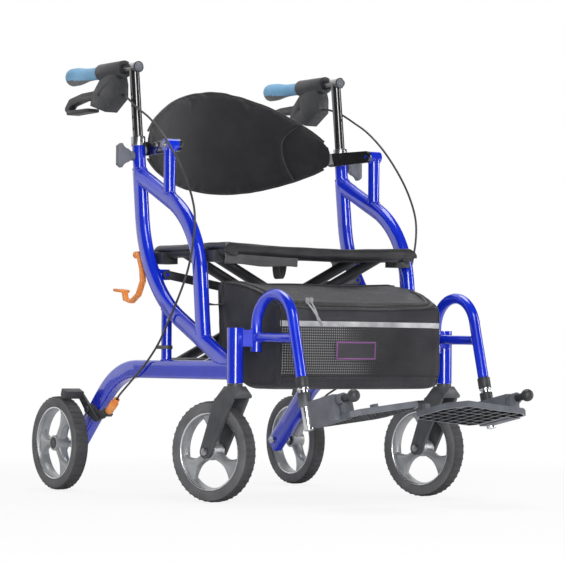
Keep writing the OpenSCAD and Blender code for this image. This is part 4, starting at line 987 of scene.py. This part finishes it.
padShape = {"half": 0.2376, "bow": 0.105, "endY": 0.195, "endZ": 0.737, "lift": 0.025, "endH": 0.036,
            "midH": 0.230, "thick": 0.0135, "endThick": 0.005, "voxel": 0.005, "pinX": 0.222, "cols": 72,
            "rows": 28, "steps": 90, "pipingR": 0.0026, "seamR": 0.0009, "seamV": 0.91, "seamOut": -1.12,
            "anchor": (-0.2396, 0, 0), "keep": 0.33}
padCloth = {"pressure": 3.0, "gravity": 0.0, "frames": 16, "cap": 0.004, "stiff": 12.0, "bend": 0.6}
crease = {"x": 0.150, "z": 0.762, "above": 18.0, "below": 4.5, "deep": 0.0060, "wide": 0.0042,
          "swell": 0.0032, "swellX": 0.015, "swellWide": 0.010}
padR = (padShape["half"] ** 2 + padShape["bow"] ** 2) / (2 * padShape["bow"])
padSwing = math.asin(padShape["half"] / padR)
padY = padShape["endY"] + padShape["bow"] - padR


def padPoint(u, v, out):
    a = padSwing * u
    share = max(0.0, math.cos(math.pi / 2 * u)) ** 0.8
    halfH = padShape["endH"] / 2 + (padShape["midH"] - padShape["endH"]) / 2 * share
    thick = padShape["endThick"] + (padShape["thick"] - padShape["endThick"]) * math.sqrt(share)
    r = padR + out * thick / 2 * (0.30 + 0.70 * math.sqrt(max(0.0, 1 - v * v)))
    z = padShape["endZ"] + padShape["lift"] * share + v * halfH
    return Vector((r * math.sin(a), padY + r * math.cos(a), z))


def padRun(first, last, v, out):
    return [padPoint(2 * k / padShape["steps"] - 1, v, out) for k in range(first, last)]


def padEdge(pad, end):
    line = []
    for p in padRun(2, 89, end, 0):
        near = [v.co for v in pad.data.vertices if abs(v.co.x - p.x) < 0.004]
        edge = max(near, key=lambda c: end * c.z)
        line.append(Vector((p.x, edge.y, edge.z)))
    for k in range(4):  # ease the line along the shaped edge
        eased = [(a + b * 2 + c) / 4 for a, b, c in zip(line, line[1:], line[2:])]
        line = [line[0]] + eased + [line[-1]]
    return line


def padShell(cols, rows):
    layers = [grid(cols, rows, lambda u, v: padPoint(2 * u - 1, 2 * v - 1, out)) for out in (-1, 1)]
    verts, faces = joined(*layers)
    n = rows + 1
    m = (cols + 1) * n
    rim = [i * n for i in range(cols)] + [cols * n + j for j in range(rows)]
    rim += [i * n + rows for i in range(cols, 0, -1)] + list(range(rows, 0, -1))
    faces += [(a, b, m + b, m + a) for a, b in zip(rim, rim[1:] + rim[:1])]
    return verts, faces


def pressCrease(pad):  # the thick middle ends in a bowed crease
    for v in pad.data.vertices:
        rise = v.co.z - crease["z"]
        away = v.co.x - crease["x"] - (crease["above"] if rise > 0 else crease["below"]) * rise * rise
        if v.co.y < padY + math.sqrt(max(0.0, padR ** 2 - v.co.x ** 2)):
            beside = (away + crease["swellX"]) / crease["swellWide"]
            dip = crease["deep"] * math.exp(-(away / crease["wide"]) ** 2)
            v.co.y += dip - crease["swell"] * math.exp(-beside ** 2)


def makePad():
    pad = meshObject("back_cushion", padShell(padShape["cols"], padShape["rows"]), knit, 80)
    pad = remeshed(pad, padShape["voxel"])
    pins = {v.index: 1.0 for v in pad.data.vertices if abs(v.co.x) > padShape["pinX"]}
    clothRun(pad, pins, **padCloth)
    relax(pad, 2)
    subdivide(pad, 80)
    pressCrease(pad)
    place(pad, "back_strap", "pad_knit", "back_pad")
    squash(pad)
    edges = [padEdge(pad, end) for end in (-1, 1)]
    rim = tube("back_cushion_piping", edges, padShape["pipingR"], piping, 8)
    squash(place(rim, "back_strap", "pad_knit"))
    lines = [padRun(8, 83, end * padShape["seamV"], padShape["seamOut"]) for end in (-1, 1)]
    seam = tube("back_cushion_seam", lines, padShape["seamR"], stitch, 6)
    squash(place(seam, "back_strap", "pad_knit"))


makePad()
print("back pad sewn")


# sling seat: a sheet hung over the rails with a rolled front edge and a short flap under it

seatShape = {"half": 0.228, "front": -0.1035, "rear": 0.160, "railZ": 0.508, "wrapR": 0.0172, "wrap": 0.88,
             "wrapTurn": 76, "thick": 0.0045, "sag": 0.010, "rollR": 0.0125, "rollTurn": 138, "skirt": 0.0150,
             "pinX": 0.219, "cols": 96, "flat": 36, "roll": 16, "anchor": (-0.228, 0, 0), "keep": 0.294}
seatCloth = {"pressure": 0.0, "gravity": 1.0, "frames": 20, "cap": 0.006, "stiff": 6.0, "bend": 0.3}
flapShape = {"from": -0.2380, "to": -0.0580, "top": 0.5070, "low": 0.4795, "y": -0.1085, "thick": 0.0014,
             "cols": 40, "rows": 7}
strapShape = {"y": -0.0655, "half": 0.0125, "thick": 0.0009}
strapSpine = [(-0.0850, 0.514), (-0.0845, 0.500), (-0.0840, 0.480), (-0.0825, 0.466), (-0.0800, 0.4575),
              (-0.0765, 0.4545), (-0.0730, 0.4570), (-0.0690, 0.466), (-0.0660, 0.484), (-0.0640, 0.500),
              (-0.0630, 0.514)]


def seatAcross(s):
    side = math.copysign(1.0, s)
    over = (abs(s) - seatShape["wrap"]) / (1 - seatShape["wrap"])
    if over <= 0:
        return side * seatShape["half"] * abs(s) / seatShape["wrap"], 0.0, 0.0
    turn = math.radians(seatShape["wrapTurn"]) * over
    r = seatShape["wrapR"]
    return side * (seatShape["half"] + r * math.sin(turn)), r * (1 - math.cos(turn)), over


def rollPoint(t, x):
    r = seatShape["rollR"]
    if t < 0.4:
        a = math.pi / 2 * t / 0.4
        return r * math.sin(a), r * (1 - math.cos(a))
    far = (t - 0.4) / 0.6
    a = math.radians(90 + seatShape["rollTurn"] * far)
    straight = softStep(abs(x), 0.196, 0.214)  # a plain skirt where the rail's end is behind it
    out = r * math.sin(a) * (1 - straight) + r * straight
    down = r * (1 - math.cos(a)) * (1 - straight) + (r + seatShape["skirt"] * far) * straight
    return out, down


def seatSag(x, inner):
    hang = 1 - min(1.0, abs(x) / seatShape["half"]) ** 2
    return seatShape["sag"] * hang * (0.6 + 0.4 * math.sin(math.pi * min(1, max(0, inner))))


def seatPin(p):
    if abs(p.x) > seatShape["pinX"] or p.y < seatShape["front"] - 0.001:
        return 1.0
    return 0.8 if p.y > seatShape["rear"] - 0.004 else 0.0


def makeSeat():
    cols = seatShape["cols"]
    flat = seatShape["flat"]
    roll = seatShape["roll"]
    depth = seatShape["rear"] - seatShape["front"]
    top = seatShape["railZ"] + seatShape["wrapR"]
    verts = []
    for u in range(cols + 1):
        s = 2 * u / cols - 1
        x, sideDrop, over = seatAcross(s)
        calm = 1 - abs(s) ** 6
        for k in range(flat + 1):
            y = seatShape["rear"] - depth * k / flat
            wave = 0.0024 * ripple(s * 5.0, y * 9.0, 2.7) * calm
            wave += 0.0016 * ripple(s * 7.0, y * 34.0, 9.1) * calm
            verts.append((x, y, top - sideDrop - seatSag(x, 1 - k / flat) + wave))
        for k in range(1, roll + 1):
            out, down = rollPoint(k / roll, x)
            wave = 0.0016 * ripple(s * 4.0, k * 0.42, 5.3) * calm
            verts.append((x, seatShape["front"] - out - wave,
                          top - sideDrop - seatSag(x, 0) - down * (1 - 0.7 * over) + wave))
    seat = meshObject("seat_sling", (verts, gridFaces(cols, flat + roll)), vinyl, 80)
    weights = {v.index: seatPin(v.co) for v in seat.data.vertices}
    clothRun(seat, {i: weight for i, weight in weights.items() if weight}, **seatCloth)
    upward = max(seat.data.polygons, key=lambda f: abs(f.normal.z)).normal.z > 0
    addWall(seat, seatShape["thick"], -1.0 if upward else 1.0)
    subdivide(seat, 65)
    place(seat, "seat", "seat_vinyl", "seat_panel")
    squash(seat)


def flapPoint(u, v):
    x = flapShape["from"] + (flapShape["to"] - flapShape["from"]) * u
    top = flapShape["top"] - seatSag(x, 0)
    low = flapShape["low"] - seatSag(x, 0) * 0.5 + 0.0015 * math.sin(u * 9)
    wave = 0.0026 * ripple(u * 5, v * 2.4, 1.3) * v
    return x, flapShape["y"] + 0.004 * v * v + wave, top + (low - top) * v


def makeSeatFlap():
    shape = grid(flapShape["cols"], flapShape["rows"], flapPoint)
    # the flap uses the lighter vinyl copy, a painted highlight
    flap = meshObject("seat_flap", shape, flapVinylPaintedSheen, 80)
    addWall(flap, flapShape["thick"], 0.0)
    subdivide(flap, 65)
    squash(place(flap, "seat", "seat_vinyl"))


def makeFoldStrap():
    line = curveThrough([(x, 0, z) for x, z in strapSpine], 4)
    rings = []
    for i, p in enumerate(line):
        d = (line[min(i + 1, len(line) - 1)] - line[max(i - 1, 0)]).normalized()
        n = Vector((-d.z, 0, d.x)) * strapShape["thick"]
        rings.append([p + n * t + Vector((0, strapShape["y"] + s * strapShape["half"], 0))
                      for s, t in ((-1, -1), (-0.9, 1), (0.9, 1), (1, -1))])
    strap = meshObject("fold_pull_strap", loft(rings), webbing, 40)
    squash(place(strap, "seat", "strap_web", "fold_strap"))


makeSeat()
makeSeatFlap()
makeFoldStrap()
print("seat hung")


# tote bag under the seat: lofted shell, then net pocket, silver tape, zip, piping, tabs and a bare patch

bagShape = {"rearHalf": 0.2205, "frontHalf": 0.2035, "rearY": -0.0475, "frontY": -0.2635, "edge": 0.013,
            "voxel": 0.006, "anchor": (-0.2163, 0, 0), "keep": 0.2535, "middle": (0, -0.155, 0.345),
            "yRange": (-0.2735, -0.0472), "zRange": (0.2275, 0.4500), "spare": 0.0015, "steps": 12,
            "edgeSteps": 6, "pinY": -0.075, "pinZ": 0.425}
bagCloth = {"pressure": 1.6, "gravity": 0.8, "frames": 16, "cap": 0.008, "stiff": 8.0, "bend": 0.4}
bagSection = [(-0.0480, 0.3000), (-0.0475, 0.3600), (-0.0475, 0.4200), (-0.0500, 0.4400), (-0.0600, 0.4480),
              (-0.0750, 0.4490), (-0.1100, 0.4470), (-0.1500, 0.4410), (-0.1900, 0.4310), (-0.2250, 0.4170),
              (-0.2450, 0.4080), (-0.2560, 0.3990), (-0.2610, 0.3850), (-0.2628, 0.3600), (-0.2630, 0.3000),
              (-0.2615, 0.2640), (-0.2530, 0.2390), (-0.2360, 0.2300), (-0.1900, 0.2285), (-0.1550, 0.2300),
              (-0.1150, 0.2480), (-0.0800, 0.2720), (-0.0570, 0.2900)]
zipPath = [(-0.206, -0.075, 0.447), (-0.203, -0.150, 0.440), (-0.198, -0.210, 0.424), (-0.180, -0.252, 0.410),
           (-0.129, -0.258, 0.402), (-0.087, -0.259, 0.401), (0.000, -0.259, 0.402), (0.088, -0.258, 0.404),
           (0.166, -0.254, 0.411), (0.192, -0.225, 0.420), (0.200, -0.160, 0.438)]
zipSection = ((-1, -0.3), (-0.96, 0.6), (-0.9, 1), (-0.3, 1), (-0.22, 0.3), (0.22, 0.3), (0.3, 1), (0.9, 1),
              (0.96, 0.6), (1, -0.3), (0.5, -0.8), (-0.5, -0.8))
slider = ((0.0066, 0.0030, 0.0014), (0.0050, 0.0046, 0.0026), (0.0, 0.0050, 0.0034),
          (-0.0050, 0.0040, 0.0026), (-0.0064, 0.0028, 0.0014))
bagTrim = {"pocket": (-0.197, 0.256, 0.394, 0.098), "pocketWall": 0.0008,  # boxes are x, z, width and height
           "tape": (-0.199, 0.3535, 0.398, 0.011), "tapeLift": 0.0024, "tapeWall": 0.0009,
           "front": (-0.199, 0.2500, 0.398, 0.146), "pipingR": 0.0019, "zipHalf": 0.0095, "zipThick": 0.0013,
           "toothPitch": 0.0030, "tooth": (0.0009, 0.0018, 0.0014), "patch": (-0.070, 0.2895, 0.096, 0.033),
           "patchLift": 0.0086, "patchWall": 0.0014, "patchEdgeR": 0.0017}
tabSection = ((-1, -0.6), (-1, 0.6), (-0.92, 1), (0.92, 1), (1, 0.6), (1, -0.6), (0.92, -1), (-0.92, -1))
tab = {"fromX": 0.2300, "tuck": 0.006, "half": 0.0115, "thick": 0.0012, "droop": -0.0022, "steps": 8}


def bagHalf(y):
    t = (bagShape["rearY"] - y) / (bagShape["rearY"] - bagShape["frontY"])
    return bagShape["rearHalf"] + (bagShape["frontHalf"] - bagShape["rearHalf"]) * min(1.0, max(0.0, t))


def bagRing(share, inset):
    line = curveThrough([(0, y, z) for y, z in bagSection + bagSection[:1]], 5)[:-1]
    middle = Vector(bagShape["middle"])
    out = []
    for p in line:
        d = p - middle
        q = middle + d * max(0.0, 1 - inset / max(d.length, 1e-6))
        out.append(Vector((share * bagHalf(q.y), q.y, q.z)))
    return out


def crumple(bag):
    for v in bag.data.vertices:
        x, y, z = v.co
        n = ripple(x * 7, y * 9, z * 15)
        m = ripple(x * 20 + 3, y * 16, z * 40)
        fold = ripple(x * 9, 4.0, z * 95)
        lid = -0.005 * math.cos(x / 0.21 * math.pi / 2) if z > 0.41 and y < -0.06 else 0.0
        band = softStep(z, 0.362, 0.370) * (1 - softStep(z, 0.394, 0.402)) if y < -0.24 else 0.0
        v.co += Vector((0.002 * m, 0.003 * n + 0.0018 * m + 0.0042 * fold * band, lid + 0.003 * n))


def makeBag():
    edge = bagShape["edge"]
    ends = edge / bagShape["frontHalf"]
    steps = bagShape["steps"]
    caps = []
    for k in range(bagShape["edgeSteps"] + 1):
        t = math.pi / 2 * k / bagShape["edgeSteps"]
        caps.append((1 - ends + ends * math.cos(t), edge * (1 - math.sin(t))))
    rings = [bagRing(-share, inset) for share, inset in caps]
    rings += [bagRing((1 - ends) * (k / steps - 1), 0.0) for k in range(1, 2 * steps)]
    rings += [bagRing(share, inset) for share, inset in reversed(caps)]
    bag = remeshed(meshObject("tote_bag_shell", loft(rings), nylon, 80), bagShape["voxel"])
    crumple(bag)
    held = [v for v in bag.data.vertices if v.co.z > bagShape["pinZ"] and v.co.y > bagShape["pinY"]]
    clothRun(bag, {v.index: 1.0 for v in held}, **bagCloth)
    relax(bag, 1)
    for v in bag.data.vertices:
        wide = bagHalf(v.co.y) + bagShape["spare"]
        for i, (low, high) in enumerate(((-wide, wide), bagShape["yRange"], bagShape["zRange"])):
            v.co[i] = max(low, min(high, v.co[i]))
    subdivide(bag, 80)
    return bag


bag = makeBag()
bagTree = BVHTree.FromObject(bag, bpy.context.evaluated_depsgraph_get())


def bagFront(x, z, lift):
    hit = bagTree.ray_cast(Vector((x, -0.40, z)), Vector((0, 1, 0)))
    y = hit[0].y if hit[0] else -0.262
    return Vector((x, y - lift, z))


def onBag(p, lift):
    hit = bagTree.find_nearest(Vector(p))
    return hit[0] + hit[1] * lift, hit[1]


def bagPiece(obj):
    return squash(place(obj, "right_frame", "bag_nylon"))


def frontGrid(name, box, cols, rows, lift, mat, thick):
    x, z, wide, high = box
    shape = grid(cols, rows, lambda u, v: bagFront(x + wide * u, z + high * v, lift(u, v)))
    obj = meshObject(name, shape, mat, 60)
    addWall(obj, thick, 0.0)
    applyAll(obj, 65)
    return bagPiece(obj)


def frontLoop(name, box, cols, rows, lift, radius, mat):
    x, z, wide, high = box
    loop = [(x + wide * k / cols, z) for k in range(cols + 1)]
    loop += [(x + wide, z + high * k / rows) for k in range(1, rows + 1)]
    loop += [(x + wide - wide * k / cols, z + high) for k in range(1, cols + 1)]
    loop += [(x, z + high - high * k / rows) for k in range(1, rows)]
    bagPiece(tube(name, [[bagFront(x, z, lift) for x, z in loop]], radius, mat, 8, True))


def netLift(u, v):
    edge = min(1.0, 6 * min(u, 1 - u)) * min(1.0, 4 * v)
    fold = ripple(u * 6 + v * 3, v * 2.2 - u * 2, 4.0) * 0.0035
    return 0.0014 + edge * (0.0042 + fold)


def ribbon(name, line, halfWide, lift, mat):
    rings = []
    for i, (p, out) in enumerate(line):
        along = (line[min(i + 1, len(line) - 1)][0] - line[max(i - 1, 0)][0]).normalized()
        side = along.cross(out).normalized()
        rings.append([p + side * halfWide * w + out * lift * h for w, h in zipSection])
    return bagPiece(meshObject(name, loft(rings), mat, 40))


def zipPull(name, x0, z0, x1, z1):
    a = bagFront(x0, z0, 0.0055)
    b = bagFront(x1, z1, 0.0050)
    knees = [(a * 2 + b) / 3 + Vector((0, -0.0028, 0)), (a + b * 2) / 3 + Vector((0, -0.0026, 0))]
    line = curveThrough([a, *knees, b], 6)
    side = (b - a).cross(Vector((0, 1, 0))).normalized()
    rings = []
    for i, p in enumerate(line):
        w = 0.0020 + 0.0010 * softStep(i / (len(line) - 1), 0.2, 0.8)
        rings.append([p + side * w * c + Vector((0, 0.0013 * s, 0)) for c, s in circle(10)])
    body = [[a + Vector((w * c, 0.0022 + d * s, z + 0.004)) for c, s in circle(14)] for z, w, d in slider]
    bagPiece(meshObject(name, joined(loft(rings), loft(body)), pullGrey, 40))


def dressBag():
    squash(place(bag, "right_frame", "bag_nylon", "tote_bag"))
    pocket = frontGrid("bag_net_pocket", bagTrim["pocket"], 96, 26, netLift, net, bagTrim["pocketWall"])
    tape = frontGrid("bag_silver_tape", bagTrim["tape"], 80, 3, lambda u, v: bagTrim["tapeLift"], strip,
                     bagTrim["tapeWall"])
    frontLoop("bag_front_piping", bagTrim["front"], 60, 30, 0.0006, bagTrim["pipingR"], piping)
    rims = [[onBag(p, 0.0008)[0] for p in bagRing(side * 0.985, 0.0045)] for side in (-1, 1)]
    bagPiece(tube("bag_side_piping", rims, bagTrim["pipingR"], piping, 8, True))
    zipLine = [onBag(p, 0.0006) for p in curveThrough(zipPath, 9)]
    ribbon("bag_zip_tape", zipLine, bagTrim["zipHalf"], bagTrim["zipThick"], piping)
    teethLine = lineObject([[p + out * 0.0008 for p, out in zipLine]])
    bagPiece(row("bag_zip_teeth", teethLine, bagTrim["toothPitch"], bagTrim["tooth"], stitch, 1))
    zipPull("bag_zip_pull_left", -0.1310, 0.4010, -0.1035, 0.3560)
    zipPull("bag_zip_pull_right", -0.1210, 0.4015, -0.1130, 0.3660)
    frontGrid("bag_patch", bagTrim["patch"], 20, 8, lambda u, v: bagTrim["patchLift"], lining,
              bagTrim["patchWall"])
    frontLoop("bag_patch_edge", bagTrim["patch"], 24, 8, 0.0090, bagTrim["patchEdgeR"], plum)


def bagTabs():
    ends = [v.co for v in frame["nodes"]["tote_bag"].data.vertices if abs(v.co.x) > tab["fromX"]]
    y = (min(p.y for p in ends) + max(p.y for p in ends)) / 2
    z = (min(p.z for p in ends) + max(p.z for p in ends)) / 2
    root = bagHalf(y) - tab["tuck"]
    reach = max(abs(p.x) for p in ends) - root
    for side, sign in sides:
        rings = []
        for k in range(tab["steps"] + 1):
            share = k / tab["steps"]
            droop = tab["droop"] * math.sin(math.pi * share)
            rings.append([(sign * (root + reach * share), y + w * tab["half"], z + droop + h * tab["thick"])
                          for w, h in tabSection])
        place(meshObject(side + "_bag_tab", loft(rings), webbing, 40), side + "_frame", "bag_nylon")


dressBag()
bagTabs()
print("bag sewn")


# stage, camera and lights

studio = {"ambient": 0.34, "frontGloss": 0.05, "backGloss": 1.0, "floor": (0.86, 0.86, 0.87), "floorHalf": 14}
lamps = {
    "keyBox": {"from": (-1.2, -3.2, 2.8), "aim": (0, 0, 0.45), "size": (1.4, 1.4), "power": 32},
    "frontStrip": {"from": (-1.95, -3.55, 0.8), "aim": (0, 0, 0.45), "size": (1.25, 2.2), "power": 92},
    "rightStrip": {"from": (2.6, -1.6, 1.1), "aim": (0, 0, 0.4), "size": (0.4, 1.8), "power": 24},
    "topBox": {"from": (0.3, 0.4, 3.2), "aim": (0, 0, 0.4), "size": (1.8, 1.8), "power": 40},
}
cameraShape = {"at": (-3.1017, -4.5106, 0.2909), "forward": (0.5634, 0.8257, 0.0291),
               "up": (-0.0232, -0.0194, 0.9995), "sensor": 36, "lens": 36 * 2595.05 / 564}


def floorFinish(name):
    mat = bpy.data.materials.new(name)
    mat.use_nodes = True
    tree = mat.node_tree
    setInputs(mat, {"Base Color": (*studio["floor"], 1), "Roughness": 0.7})
    glow = addNode(tree, "ShaderNodeEmission", {"Strength": 1.0})
    spot = addNode(tree, "ShaderNodeTexCoord").outputs["Object"]
    away = addNode(tree, "ShaderNodeVectorMath", {0: spot}, operation="LENGTH").outputs["Value"]
    # white far off, with a shadow near the wheels
    share = mapRange(tree, away, 0.7, 2.4, 0.86, 1.0, interpolation_type="SMOOTHSTEP")
    path = addNode(tree, "ShaderNodeLightPath").outputs
    amount = mathNode(tree, "MULTIPLY", path["Is Camera Ray"], share)
    mix = addNode(tree, "ShaderNodeMixShader", {0: amount, 1: tree.nodes["Principled BSDF"], 2: glow})
    feed(tree, tree.nodes["Material Output"].inputs["Surface"], mix)
    return mat


def mixValue(tree, factor, a, b):
    return addNode(tree, "ShaderNodeMix", {"Factor": factor, "A": a, "B": b}, data_type="FLOAT")


def makeSky(name):  # a white sweep behind the object and a dim room ahead of it; the camera sees white
    world = bpy.data.worlds.new(name)
    scene.world = world
    world.use_nodes = True
    tree = world.node_tree
    facing = addNode(tree, "ShaderNodeTexCoord").outputs["Generated"]
    sweep = mapRange(tree, axes(tree, facing)["Y"], 0.25, 0.65, studio["frontGloss"], studio["backGloss"],
                     interpolation_type="SMOOTHSTEP")
    path = addNode(tree, "ShaderNodeLightPath").outputs
    gloss = mixValue(tree, path["Is Glossy Ray"], studio["ambient"], sweep)
    through = mathNode(tree, "MAXIMUM", path["Is Camera Ray"], path["Is Transmission Ray"])
    sky = tree.nodes["Background"]
    feed(tree, sky.inputs["Color"], (1, 1, 1, 1))
    feed(tree, sky.inputs["Strength"], mixValue(tree, through, gloss, 1.0))


far = studio["floorHalf"]
floorShape = ([(x * far, y * far, -0.0005) for x, y in ((-1, -1), (1, -1), (1, 1), (-1, 1))], [(0, 1, 2, 3)])
floor = meshObject("floor", floorShape, floorFinish("paleFloor"))
makeSky("studio")
for name, lamp in lamps.items():
    light = bpy.data.lights.new(name, "AREA")
    light.shape = "RECTANGLE"
    light.size, light.size_y = lamp["size"]
    light.energy = lamp["power"]
    holder = newObject(name, light)
    holder.location = lamp["from"]
    holder.rotation_euler = (Vector(lamp["aim"]) - Vector(lamp["from"])).to_track_quat("-Z", "Y").to_euler()

lensData = bpy.data.cameras.new("camera")
lensData.sensor_width = cameraShape["sensor"]
lensData.lens = cameraShape["lens"]
camera = newObject("camera", lensData)
back = -Vector(cameraShape["forward"]).normalized()
right = Vector(cameraShape["up"]).cross(back).normalized()
turn = Matrix((right, back.cross(right), back)).transposed()
camera.matrix_world = Matrix.Translation(Vector(cameraShape["at"])) @ turn.to_4x4()
scene.camera = camera
print("stage set")
